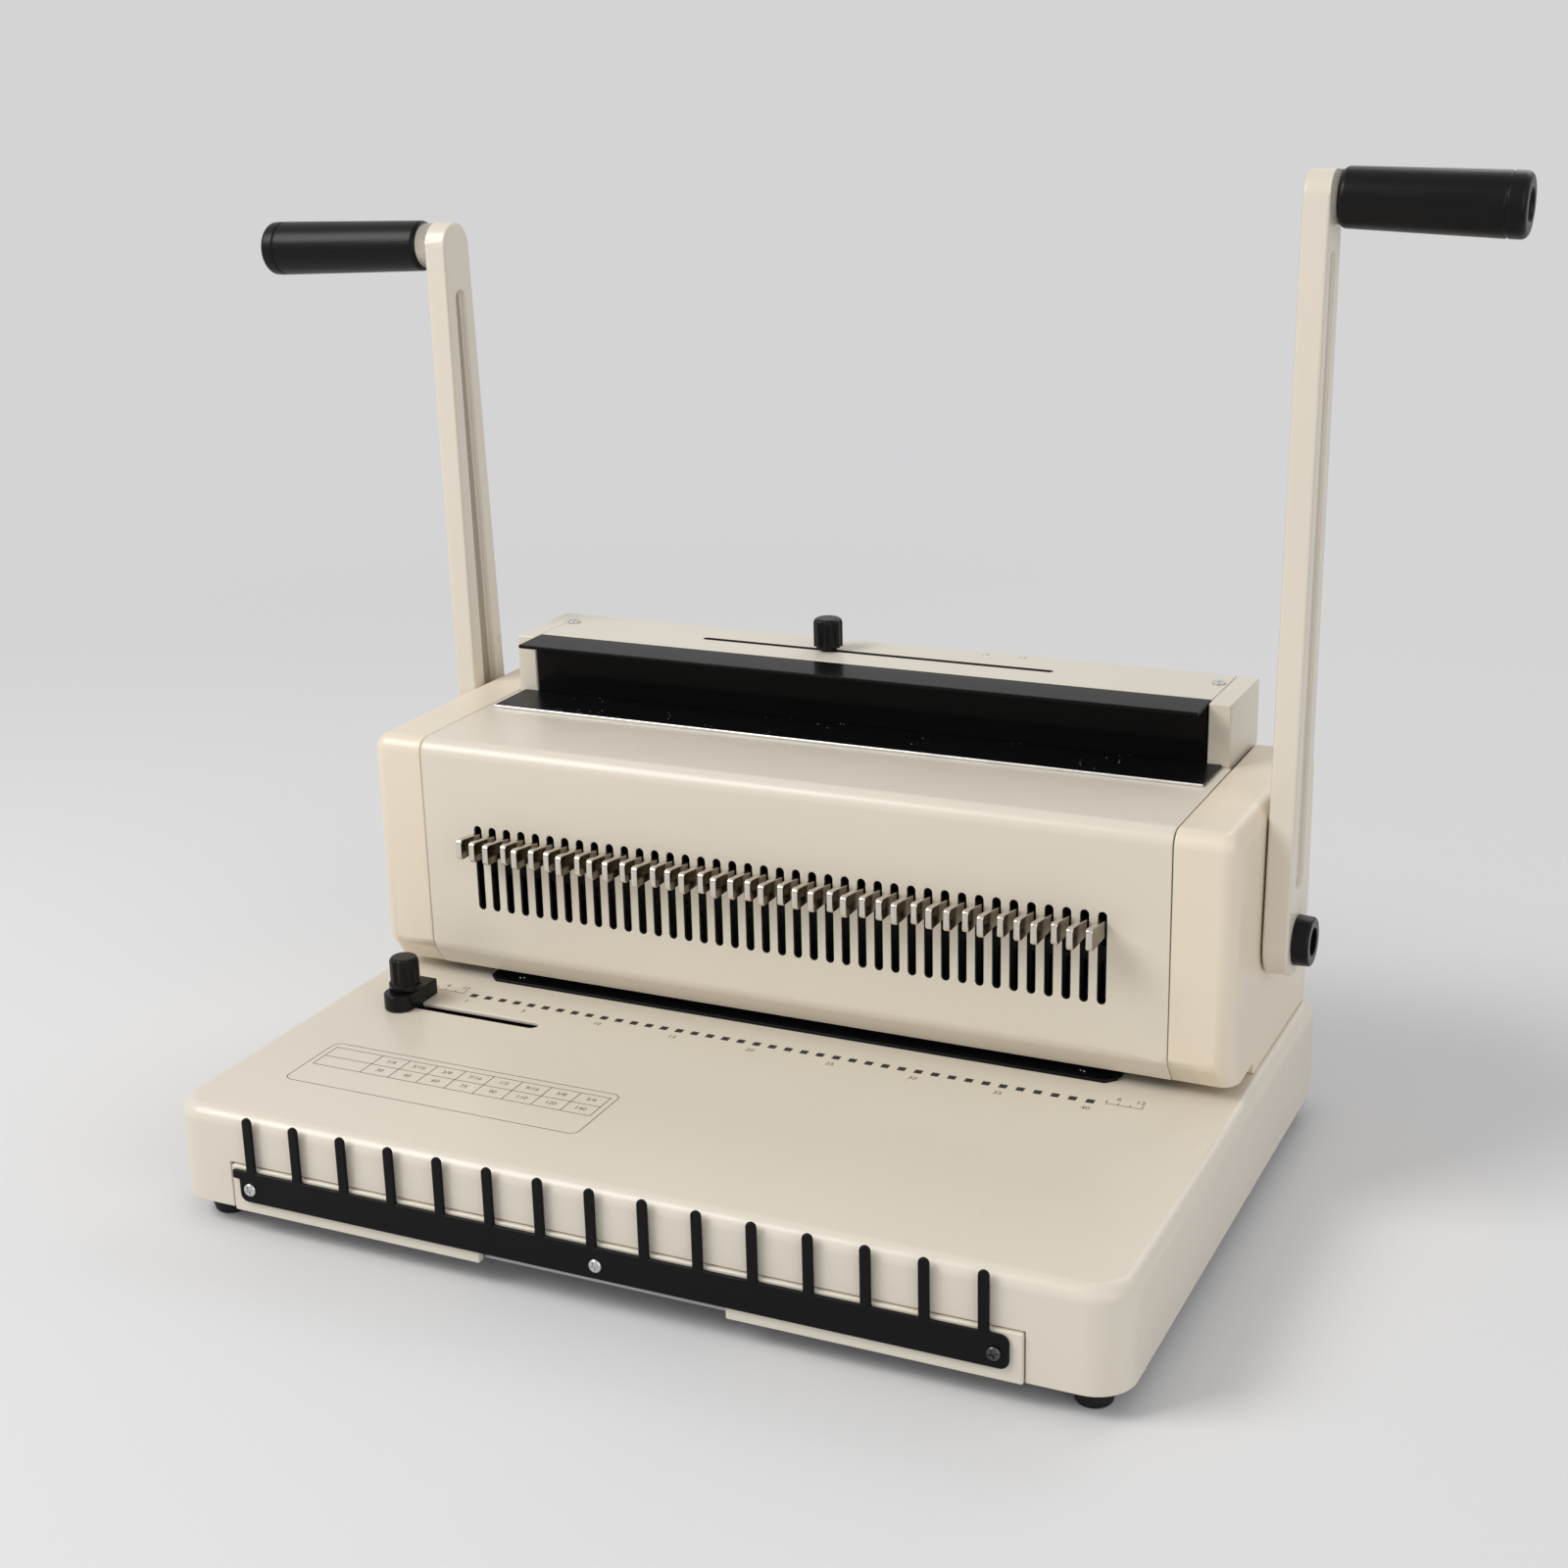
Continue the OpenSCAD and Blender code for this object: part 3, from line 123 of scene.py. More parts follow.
class Wire:
    """Adds nodes to one node tree and links them."""

    def __init__(self, tree: bpy.types.NodeTree) -> None:
        """Keeps the tree that the nodes go into."""
        self.tree = tree

    def add(self, kind: str, sockets: dict | None = None, **settings: object) -> Node:
        """Adds a shader node.

        Args:
            kind: The node's type without its leading ShaderNode.
            sockets: Values or source sockets by input name or number.
            settings: Properties of the node itself, which are set first.

        Returns:
            The new node.
        """
        node = self.tree.nodes.new("ShaderNode" + kind)
        for key, value in settings.items():
            setattr(node, key, value)
        for key, value in (sockets or {}).items():
            self.feed(value, node.inputs[key])
        return node

    def feed(self, value: object, target: Socket) -> None:
        """Links a source socket to an input, or sets the input to a plain value."""
        if isinstance(value, Socket):
            self.tree.links.new(value, target)
        else:
            target.default_value = value

    @staticmethod
    def source(node: Node, name: str) -> Socket:
        """Returns the socket that feeds an input of a node."""
        return node.inputs[name].links[0].from_socket

    def group(self, effect: Effect, sockets: dict) -> bpy.types.NodeOutputs:
        """Places a shared effect with its own values and returns its outputs."""
        return self.add("Group", sockets, node_tree=effect.tree()).outputs

    def place(self) -> Socket:
        """Returns the Object coordinates."""
        return self.add("TexCoord").outputs["Object"]

    def along(self, axis: Axis) -> Socket:
        """Returns the Object coordinate along an axis."""
        return self.add("SeparateXYZ", {0: self.place()}).outputs[axis.value]

    def facing(self, axis: Axis) -> Socket:
        """Returns how far the surface faces along an axis."""
        normal = self.add("NewGeometry").outputs["Normal"]
        return self.add("SeparateXYZ", {0: normal}).outputs[axis.value]

    def math(self, operation: str, *values: object, clamp: bool = False) -> Socket:
        """Works with numbers.

        Args:
            operation: Blender's name of the operation.
            values: Its numbers or source sockets.
            clamp: Whether the result stays between 0 and 1.

        Returns:
            The result.
        """
        node = self.add("Math", dict(enumerate(values)), operation=operation, use_clamp=clamp)
        return node.outputs[0]

    def vector(self, operation: str, *values: object) -> Socket:
        """Works with vectors and returns the result."""
        return self.add("VectorMath", dict(enumerate(values)), operation=operation).outputs["Vector"]

    def noise(self, scale: object, detail: float, warp: float = 0.0, place: Socket | None = None) -> Socket:
        """Adds a noise over the surface.

        Args:
            scale: Its changes in a metre.
            detail: Its octaves.
            warp: How far it is distorted.
            place: Coordinates to use in place of the Object ones.

        Returns:
            Its value from 0 to 1.
        """
        node = self.add("TexNoise", {"Vector": self.place() if place is None else place, "Scale": scale,
                                     "Detail": detail, "Distortion": warp})
        return node.outputs["Fac"]

    def swing(self, noise: Socket, amount: object) -> Socket:
        """Returns a noise counted from its middle, times an amount."""
        return self.math("MULTIPLY", self.math("SUBTRACT", noise, NOISE_MIDDLE), amount)

    def toned(self, tone: Socket, noise: Socket, amount: object) -> Socket:
        """Returns a colour that a noise makes lighter and darker."""
        level = self.math("ADD", self.swing(noise, amount), 1.0)
        return self.add("VectorMath", {0: tone, "Scale": level}, operation="SCALE").outputs["Vector"]

    def blend(self, mask: Socket, under: Socket, over: Color) -> Socket:
        """Returns a colour that a plain one covers where the mask is 1."""
        mixed = self.add("Mix", {"Factor": mask, 6: under, 7: (*over, 1.0)}, data_type="RGBA")
        return mixed.outputs[2]

    def ramp(self, value: Socket, start: object, end: object, interpolation: str = "LINEAR") -> Socket:
        """Returns 0 where a value is at its start, 1 where it is at its end and a slope between them."""
        node = self.add("MapRange", {"Value": value, "From Min": start, "From Max": end},
                        interpolation_type=interpolation)
        return node.outputs["Result"]


class Effect(Enum):
    """Effects that several finishes share, each built once as a node group."""

    TONE_DRIFT = "tone_drift"
    GLOSS_DRIFT = "gloss_drift"
    FINE_GRAIN = "fine_grain"
    DRAWN_LINES = "drawn_lines"
    DUST_SPECKS = "dust_specks"
    BARE_BAND = "bare_band"
    BOX_MASK = "box_mask"
    SIDE_MASK = "side_mask"

    def tree(self) -> bpy.types.NodeTree:
        """Returns the effect's node group, made on first use."""
        found = bpy.data.node_groups.get(self.value)
        if found:
            return found
        tree = bpy.data.node_groups.new(self.value, "ShaderNodeTree")
        getattr(self, "_" + self.value)(Wire(tree))
        return tree

    @staticmethod
    def _sockets(wire: Wire, inputs: dict[str, str], outputs: dict[str, str]) -> tuple[dict, Node]:
        """Makes a group's sockets.

        Args:
            wire: The group's tree.
            inputs: Socket type by input name, without its leading NodeSocket.
            outputs: Socket type by output name.

        Returns:
            The input sockets by name and the group's output node.
        """
        for way, named in (("INPUT", inputs), ("OUTPUT", outputs)):
            for name, kind in named.items():
                wire.tree.interface.new_socket(name, in_out=way, socket_type="NodeSocket" + kind)
        source = wire.tree.nodes.new("NodeGroupInput")
        return dict(source.outputs.items()), wire.tree.nodes.new("NodeGroupOutput")

    def _tone_drift(self, wire: Wire) -> None:
        """A colour that grows a little lighter and darker over the surface."""
        given, out = self._sockets(
            wire, {"Tone": "Color", "Amount": "Float", "Scale": "Float"}, {"Color": "Color"})
        noise = wire.noise(given["Scale"], TONE_DETAIL)
        wire.feed(wire.toned(given["Tone"], noise, given["Amount"]), out.inputs["Color"])

    def _gloss_drift(self, wire: Wire) -> None:
        """A roughness with smudges."""
        given, out = self._sockets(
            wire, {"Roughness": "Float", "Spread": "Float", "Scale": "Float"}, {"Roughness": "Float"})
        smudges = wire.swing(wire.noise(given["Scale"], SMUDGE_DETAIL, SMUDGE_WARP), given["Spread"])
        wire.feed(wire.math("ADD", smudges, given["Roughness"], clamp=True), out.inputs["Roughness"])

    def _fine_grain(self, wire: Wire) -> None:
        """A fine even grain, as of powder coat or moulded plastic."""
        given, out = self._sockets(wire, {"Scale": "Float", "Pebbles": "Float"}, {"Height": "Float"})
        noise = wire.noise(given["Scale"], GRAIN_DETAIL)
        cells = wire.add("TexVoronoi", {"Vector": wire.place(), "Scale": given["Scale"]},
                         feature="SMOOTH_F1")
        pebble = wire.math("MULTIPLY", cells.outputs["Distance"], given["Pebbles"])
        wire.feed(wire.math("SUBTRACT", noise, pebble), out.inputs["Height"])

    def _drawn_lines(self, wire: Wire) -> None:
        """Fine parallel lines left by grinding or drawing, and the tone that goes with them."""
        given, out = self._sockets(
            wire, {"Tone": "Color", "Lines": "Vector", "Amount": "Float"},
            {"Height": "Float", "Color": "Color"})
        spread = wire.vector("MULTIPLY", wire.place(), given["Lines"])
        noise = wire.noise(1.0, LINE_DETAIL, place=spread)
        wire.feed(noise, out.inputs["Height"])
        wire.feed(wire.toned(given["Tone"], noise, given["Amount"]), out.inputs["Color"])

    def _dust_specks(self, wire: Wire) -> None:
        """Scattered specks on the faces that look up."""
        given, out = self._sockets(wire, {"Scale": "Float", "Size": "Float"}, {"Mask": "Float"})
        cells = wire.add("TexVoronoi", {"Vector": wire.place(), "Scale": given["Scale"], "Randomness": 1.0})
        speck = wire.math("LESS_THAN", cells.outputs["Distance"], given["Size"])
        patch = wire.math("GREATER_THAN", wire.noise(PATCH_SCALE, PATCH_DETAIL), PATCH_LIMIT)
        upward = wire.math("GREATER_THAN", wire.facing(Axis.Z), UPWARD)
        mask = wire.math("MULTIPLY", wire.math("MULTIPLY", speck, patch), upward)
        wire.feed(mask, out.inputs["Mask"])

    def _bare_band(self, wire: Wire) -> None:
        """Where a coat is rubbed off beside an edge, with a ragged limit."""
        given, out = self._sockets(
            wire, {"Reach": "Float", "Width": "Float", "Ragged": "Float", "Scale": "Float"},
            {"Mask": "Float"})
        swing = wire.swing(wire.noise(given["Scale"], BAND_DETAIL), given["Ragged"])
        reach = wire.math("ADD", given["Reach"], swing)
        wire.feed(wire.ramp(reach, given["Width"], 0.0), out.inputs["Mask"])

    def _box_mask(self, wire: Wire) -> None:
        """1 inside a box of the frame and 0 outside it."""
        given, out = self._sockets(wire, {"Low": "Vector", "High": "Vector"}, {"Mask": "Float"})
        place = wire.place()
        past = wire.vector("SUBTRACT", place, given["Low"])
        short = wire.vector("SUBTRACT", given["High"], place)
        least = wire.add("SeparateXYZ", {0: wire.vector("MINIMUM", past, short)}).outputs
        depth = wire.math("MINIMUM", wire.math("MINIMUM", least["X"], least["Y"]), least["Z"])
        wire.feed(wire.math("GREATER_THAN", depth, 0.0), out.inputs["Mask"])

    def _side_mask(self, wire: Wire) -> None:
        """1 on faces that look to the left or right and 0 on the edges between them."""
        given, out = self._sockets(wire, {"Start": "Float", "Full": "Float"}, {"Mask": "Float"})
        across = wire.math("ABSOLUTE", wire.facing(Axis.X))
        wire.feed(wire.ramp(across, given["Start"], given["Full"]), out.inputs["Mask"])


@dataclass(frozen=True)
class Finish:
    """A surface finish that makes its own material."""

    name: str
    color: Color
    roughness: float

    def material(self) -> bpy.types.Material:
        """Returns the finish's material, made on first use."""
        found = bpy.data.materials.get(self.name)
        if found:
            return found
        made = bpy.data.materials.new(self.name)
        made.use_nodes = True
        made.diffuse_color = (*self.color, 1.0)
        made.node_tree.nodes.clear()
        wire = Wire(made.node_tree)
        shader = wire.add("BsdfPrincipled")
        wire.add("OutputMaterial", {"Surface": shader.outputs["BSDF"]})
        self.dress(wire, shader)
        return made

    def dress(self, wire: Wire, shader: Node) -> None:
        """Links the finish's nodes to its shader."""
        raise NotImplementedError


@dataclass(frozen=True)
class Coat(Finish):
    """Powder coat, lacquer or moulded plastic."""

    drift: float = 0.10
    drift_scale: float = 9.0
    gloss_spread: float = 0.12
    gloss_scale: float = 24.0
    grain_scale: float = 900.0
    grain_depth: float = 0.05
    grain_strength: float = 0.25
    pebbles: float = 0.0
    specular: float = 0.5
    lacquer: float = 0.0
    lacquer_roughness: float = 0.08
    dust_size: float = 0.0
    dust_scale: float = 260.0
    dust: Color = (0.42, 0.40, 0.36)

    def dress(self, wire: Wire, shader: Node) -> None:
        """Links tone, gloss, grain and dust to the shader."""
        tone = self.tone(wire)
        if self.dust_size:
            specks = wire.group(Effect.DUST_SPECKS, {"Scale": self.dust_scale, "Size": self.dust_size})
            tone = wire.blend(specks["Mask"], tone, self.dust)
        wire.feed(tone, shader.inputs["Base Color"])
        gloss = wire.group(Effect.GLOSS_DRIFT, {
            "Roughness": self.roughness, "Spread": self.gloss_spread, "Scale": self.gloss_scale})
        wire.feed(gloss["Roughness"], shader.inputs["Roughness"])
        wire.feed(self.bump(wire), shader.inputs["Normal"])
        shader.inputs["Specular IOR Level"].default_value = self.specular
        shader.inputs["Coat Weight"].default_value = self.lacquer
        shader.inputs["Coat Roughness"].default_value = self.lacquer_roughness

    def tone(self, wire: Wire) -> Socket:
        """Returns the colour with its drift."""
        drift = wire.group(Effect.TONE_DRIFT, {
            "Tone": (*self.color, 1.0), "Amount": self.drift, "Scale": self.drift_scale})
        return drift["Color"]

    def bump(self, wire: Wire) -> Socket:
        """Returns the normal with its grain."""
        grain = wire.group(Effect.FINE_GRAIN, {"Scale": self.grain_scale, "Pebbles": self.pebbles})
        bump = wire.add("Bump", {"Strength": self.grain_strength, "Distance": self.grain_depth * MM,
                                 "Height": grain["Height"]})
        return bump.outputs["Normal"]


@dataclass(frozen=True)
class SlottedCoat(Coat):
    """A coat with painted shade on the walls of the slots through it: the walls are near black and matt."""

    slot_low: Point = (0.0, 0.0, 0.0)
    slot_high: Point = (0.0, 0.0, 0.0)
    # Painted shade: near-black tone of the slot walls, standing for the shade inside the slots.
    wall: Color = (0.004, 0.004, 0.004)
    wall_roughness: float = 0.95

    def within(self, name: str, low: Vector, high: Vector) -> SlottedCoat:
        """Returns the coat under another name, with its slots between two corners of the frame."""
        return replace(self, name=name, slot_low=tuple(low), slot_high=tuple(high))

    def dress(self, wire: Wire, shader: Node) -> None:
        """Dresses the coat, then makes the walls of its slots matt."""
        super().dress(wire, shader)
        gloss = wire.source(shader, "Roughness")
        mixed = wire.add("Mix", {"Factor": self.painted_shade_mask(wire), 2: gloss, 3: self.wall_roughness})
        wire.feed(mixed.outputs[0], shader.inputs["Roughness"])

    def tone(self, wire: Wire) -> Socket:
        """Returns the colour with its drift, and the painted shade on the walls inside the slots."""
        return wire.blend(self.painted_shade_mask(wire), super().tone(wire), self.wall)

    def painted_shade_mask(self, wire: Wire) -> Socket:
        """Returns the mask of the slots, where the shade is painted."""
        return wire.group(Effect.BOX_MASK, {"Low": self.slot_low, "High": self.slot_high})["Mask"]


@dataclass(frozen=True)
class GroovedCoat(SlottedCoat):
    """A coat with painted shade on the floor of its grooves."""

    # Painted shade: darker tone of the groove floors.
    wall: Color = (0.40, 0.36, 0.29)

    def painted_shade_mask(self, wire: Wire) -> Socket:
        """Returns the mask of the grooves' floors, where the shade is painted."""
        floors = wire.group(Effect.SIDE_MASK, {"Start": SIDE_START, "Full": SIDE_FULL})["Mask"]
        return wire.math("MULTIPLY", super().painted_shade_mask(wire), floors)


@dataclass(frozen=True)
class WornCoat(Coat):
    """A coat that is rubbed through to bright metal from one edge on."""

    axis: Axis = Axis.Y
    edge: float = 0.0
    width: float = 0.5
    ragged: float = 1.2
    band_scale: float = 120.0
    bare: Color = (0.74, 0.73, 0.71)

    def dress(self, wire: Wire, shader: Node) -> None:
        """Dresses the coat, then lays the bare band over it."""
        super().dress(wire, shader)
        band = wire.group(Effect.BARE_BAND, {
            "Reach": wire.math("SUBTRACT", wire.along(self.axis), self.edge), "Width": self.width * MM,
            "Ragged": self.ragged * MM, "Scale": self.band_scale})
        tone = wire.blend(band["Mask"], wire.source(shader, "Base Color"), self.bare)
        wire.feed(tone, shader.inputs["Base Color"])
        wire.feed(band["Mask"], shader.inputs["Metallic"])


@dataclass(frozen=True)
class Metal(Finish):
    """Bare or plated metal with the lines of its making and a little tarnish."""

    lines: tuple[float, float, float] = (60.0, 60.0, 1500.0)
    line_tone: float = 0.25
    line_depth: float = 0.01
    line_strength: float = 0.3
    tarnish: float = 0.18
    tarnish_scale: float = 70.0
    gloss_spread: float = 0.16

    def dress(self, wire: Wire, shader: Node) -> None:
        """Links tarnish, drawn lines and gloss to the shader."""
        drift = wire.group(Effect.TONE_DRIFT, {
            "Tone": (*self.color, 1.0), "Amount": self.tarnish, "Scale": self.tarnish_scale})
        drawn = wire.group(Effect.DRAWN_LINES, {
            "Tone": drift["Color"], "Lines": self.lines, "Amount": self.line_tone})
        wire.feed(drawn["Color"], shader.inputs["Base Color"])
        gloss = wire.group(Effect.GLOSS_DRIFT, {
            "Roughness": self.roughness, "Spread": self.gloss_spread, "Scale": self.tarnish_scale})
        wire.feed(gloss["Roughness"], shader.inputs["Roughness"])
        bump = wire.add("Bump", {"Strength": self.line_strength, "Distance": self.line_depth * MM,
                                 "Height": drawn["Height"]})
        wire.feed(bump.outputs["Normal"], shader.inputs["Normal"])
        shader.inputs["Metallic"].default_value = 1.0


@dataclass(frozen=True)
class SideShadedMetal(Metal):
    """Plated metal with painted shade on its flat sides, which are darker than its bright edges."""

    # Darker tone laid over the masked places; on the flat sides it is painted shade.
    dark_tone: Color = (0.30, 0.26, 0.205)

    def dress(self, wire: Wire, shader: Node) -> None:
        """Dresses the metal, then darkens it in places."""
        super().dress(wire, shader)
        tone = wire.blend(self.places(wire), wire.source(shader, "Base Color"), self.dark_tone)
        wire.feed(tone, shader.inputs["Base Color"])

    def places(self, wire: Wire) -> Socket:
        """Returns the mask of the flat sides, which take the painted shade."""
        return wire.group(Effect.SIDE_MASK, {"Start": SIDE_START, "Full": SIDE_FULL})["Mask"]


@dataclass(frozen=True)
class BoxDarkenedMetal(SideShadedMetal):
    """Plated metal that is dark within one box of the frame."""

    dark_low: Point = (0.0, 0.0, 0.0)
    dark_high: Point = (0.0, 0.0, 0.0)

    def places(self, wire: Wire) -> Socket:
        """Returns the mask of the box."""
        return wire.group(Effect.BOX_MASK, {"Low": self.dark_low, "High": self.dark_high})["Mask"]


CREAM = Coat("cream_powder_coat", (0.73, 0.67, 0.572), 0.30, drift=0.07, grain_strength=0.16)
# Cream with painted shade on the walls of its slots.
SLOTTED_CREAM = SlottedCoat("slotted_cream_coat", CREAM.color, CREAM.roughness, drift=CREAM.drift,
                            grain_strength=CREAM.grain_strength)
# Cream with painted shade on the floors of the arms' grooves.
GROOVED_CREAM = GroovedCoat("grooved_cream_coat", CREAM.color, CREAM.roughness, drift=CREAM.drift,
                            grain_strength=CREAM.grain_strength)
COVER = Coat("yellowed_cover_plastic", (0.795, 0.70, 0.565), 0.33, drift=0.08, drift_scale=14.0,
             grain_scale=1400.0, grain_strength=0.12)
SATIN_BLACK = Coat("satin_black_lacquer", (0.004, 0.004, 0.0043), 0.36, drift=0.5, grain_strength=0.15,
                   specular=0.13, dust_size=0.05)
WORN_BLACK = WornCoat("anvil_lacquer", SATIN_BLACK.color, 0.30, drift=0.5, grain_strength=0.12,
                      specular=0.12, dust_size=0.11, width=0.75, ragged=0.4, bare=(0.86, 0.85, 0.83))
GLOSS_BLACK = Coat("gloss_black_lacquer", (0.005, 0.005, 0.0054), 0.22, drift=0.4, grain_scale=500.0,
                   grain_strength=0.06, specular=0.05, lacquer=0.05, dust_size=0.05)
MOULDED_BLACK = Coat("moulded_black_plastic", (0.004, 0.004, 0.0043), 0.28, drift=0.5,
                     grain_scale=1500.0, grain_strength=0.14, specular=0.2)
GRIP_BLACK = Coat("grained_grip_plastic", (0.0035, 0.0035, 0.0038), 0.34, drift=0.5, grain_scale=1100.0,
                  grain_depth=0.09, grain_strength=0.5, pebbles=0.8, specular=0.18)
RUBBER = Coat("foot_rubber", (0.010, 0.010, 0.010), 0.72, drift=0.5, grain_scale=1300.0,
              grain_strength=0.4, specular=0.3)
# Nickel of the pull tabs, with painted shade darkening their flat sides.
NICKEL = SideShadedMetal("side_shaded_nickel_plate", (0.66, 0.62, 0.555), 0.16, lines=(900.0, 40.0, 60.0))
ZINC = Metal("zinc_plate", (0.62, 0.62, 0.61), 0.30, lines=(700.0, 700.0, 700.0), line_tone=0.12)
# Zinc of the comb's screws, darker within a box round the right-hand ones.
BOX_DARKENED_ZINC = BoxDarkenedMetal("comb_screw_zinc", ZINC.color, ZINC.roughness, lines=ZINC.lines,
                                line_tone=ZINC.line_tone, dark_tone=(0.10, 0.10, 0.10))
SHEET_STEEL = Metal("rolled_sheet_steel", (0.40, 0.41, 0.42), 0.42, lines=(20.0, 20.0, 900.0))
# Steel inside the housing, near black: painted shade for the dark seen through the slots.
TOOL_STEEL = Metal("painted_shade_tool_steel", (0.032, 0.032, 0.034), 0.62, lines=(30.0, 1200.0, 1200.0))
SHAFT_STEEL = Metal("ground_shaft_steel", (0.60, 0.60, 0.59), 0.26, lines=(1800.0, 60.0, 60.0))
BRASS = Metal("oiled_brass", (0.68, 0.50, 0.22), 0.30, lines=(1200.0, 200.0, 200.0))
INK = Coat("printed_ink", (0.022, 0.020, 0.018), 0.55, drift=0.6, drift_scale=400.0, grain_strength=0.1)
FAINT_INK = Coat("faint_printed_ink", (0.055, 0.048, 0.040), 0.52, drift=0.5, drift_scale=500.0,
                 grain_strength=0.1)
GREY_INK = Coat("worn_grey_ink", (0.36, 0.33, 0.29), 0.5, drift=0.6, drift_scale=600.0,
                grain_strength=0.1)
PAPER = Coat("floor_paper", (0.74, 0.74, 0.75), 0.85, drift=0.02, drift_scale=1.5, grain_strength=0.05)

FINISHES: dict[str, Finish] = {
    Slot.CREAM.value: CREAM, Slot.COVER.value: COVER, Slot.BLACK.value: SATIN_BLACK,
    Slot.MOULDED.value: MOULDED_BLACK, Slot.GRIP.value: GRIP_BLACK, Slot.RUBBER.value: RUBBER,
    Slot.NICKEL.value: NICKEL, Slot.ZINC.value: ZINC, Slot.SHEET.value: SHEET_STEEL,
    Slot.TOOL.value: TOOL_STEEL, Slot.SHAFT.value: SHAFT_STEEL, Slot.BRASS.value: BRASS,
}


@dataclass(frozen=True)
class Rounding:
    """How the edges of a shell are rounded, and which of them."""

    width: float
    segments: int = 2
    crease: float = CREASE
    where: PlaceTest | None = None
    outer_only: bool = False

    def edges(self, bm: Shape) -> list[bmesh.types.BMEdge]:
        """Returns the edges of a bmesh that are rounded."""
        sharp = [e for e in bm.edges if e.is_manifold and e.calc_face_angle() > self.crease
                 and (e.is_convex or not self.outer_only)]
        if self.where is None:
            return sharp
        return [e for e in sharp if self.where((e.verts[0].co + e.verts[1].co) / 2)]

    def apply(self, bm: Shape) -> None:
        """Rounds the edges of a bmesh."""
        bmesh.ops.bevel(bm, geom=self.edges(bm), offset=self.width * MM, offset_type="OFFSET",
                        segments=self.segments, profile=0.5, affect="EDGES", clamp_overlap=False,
                        material=-1)


@dataclass(frozen=True)
class Layout:
    """Zero of the layout in the frame: middle of the hole row, front of the housing, top of the deck."""

    zero: Vector

    @classmethod
    def read(cls) -> Layout:
        """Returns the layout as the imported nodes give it."""
        panel_low, panel_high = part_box("front_panel")
        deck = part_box("base_shell")[1]
        return cls(Vector(((panel_low.x + panel_high.x) / 2, panel_low.y, deck.z)))

    def at(self, x: float, y: float, z: float) -> Vector:
        """Returns a point of the layout, given in millimetres, in the frame."""
        return self.zero + Vector((x, y, z)) * MM

    def inside(self, low: Point, high: Point) -> PlaceTest:
        """Returns a test for points between two corners of the layout, given in millimetres."""
        a, b = self.at(*low), self.at(*high)
        return lambda point: all(a[k] <= point[k] <= b[k] for k in range(3))


class Workbench:
    """Loads the frame and turns meshes into finished pieces."""

    def __init__(self) -> None:
        """Loads the frame and reads what each node rides on and is made of."""
        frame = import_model()
        record = frame["record"]
        self.nodes: dict[str, bpy.types.Object] = frame["nodes"]
        self.body = {n: b for b, members in record["behaviour"]["bodies"].items() for n in members}
        self.slot = {row["node"]: row["material_slot"] for row in record["subparts"]}
        self.layout = Layout.read()

    def keep(self, *nodes: str) -> None:
        """Gives CAD nodes that stay as they are the finish of their slot."""
        for node in nodes:
            shown = self.nodes[node]
            shown.data.materials.clear()
            shown.data.materials.append(FINISHES[self.slot[node]].material())
            LOG.info("kept %s in %s", node, FINISHES[self.slot[node]].name)

    def ease(self, node: str, *roundings: Rounding, finish: Finish | None = None) -> bpy.types.Object:
        """Makes a shell of a CAD node with rounded edges, which stands for the node.

        Args:
            node: The CAD node.
            roundings: How its edges are rounded, one after the other.
            finish: A finish other than that of the node's slot.

        Returns:
            The shell.
        """
        bm = bmesh.new()
        bm.from_mesh(self.nodes[node].data)
        bmesh.ops.remove_doubles(bm, verts=bm.verts, dist=WELD)
        bmesh.ops.dissolve_limit(bm, angle_limit=FLAT, verts=bm.verts, edges=bm.edges)
        for rounding in roundings:
            rounding.apply(bm)
        slot = self.slot[node]
        shell = self.piece(f"{node}_shell", bm, self.body[node], finish or FINISHES[slot])
        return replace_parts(shell, node)

    def piece(self, name: str, bm: Shape, body: str, finish: Finish) -> bpy.types.Object:
        """Turns a bmesh into a piece that rides on a body.

        Args:
            name: Name of the piece.
            bm: Its shape in the frame, which is freed here.
            body: The body that it rides on.
            finish: Its finish.

        Returns:
            The piece.
        """
        mesh = bpy.data.meshes.new(name)
        bm.to_mesh(mesh)
        bm.free()
        mesh.shade_smooth()
        mesh.set_sharp_from_angle(angle=SHARP)
        mesh.materials.append(finish.material())
        made = bpy.data.objects.new(name, mesh)
        bpy.context.scene.collection.objects.link(made)
        weighted = made.modifiers.new("even_normals", "WEIGHTED_NORMAL")
        weighted.keep_sharp = True
        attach(made, body)
        LOG.info("built %s with %d faces in %s", name, len(mesh.polygons), finish.name)
        return made


def slab(bm: Shape, low: Vector, high: Vector) -> None:
    """Adds a box between two corners to a bmesh."""
    middle, size = (low + high) / 2, high - low
    place = Matrix.Translation(middle) @ Matrix.Diagonal((*size, 1.0))
    bmesh.ops.create_cube(bm, size=1.0, matrix=place)


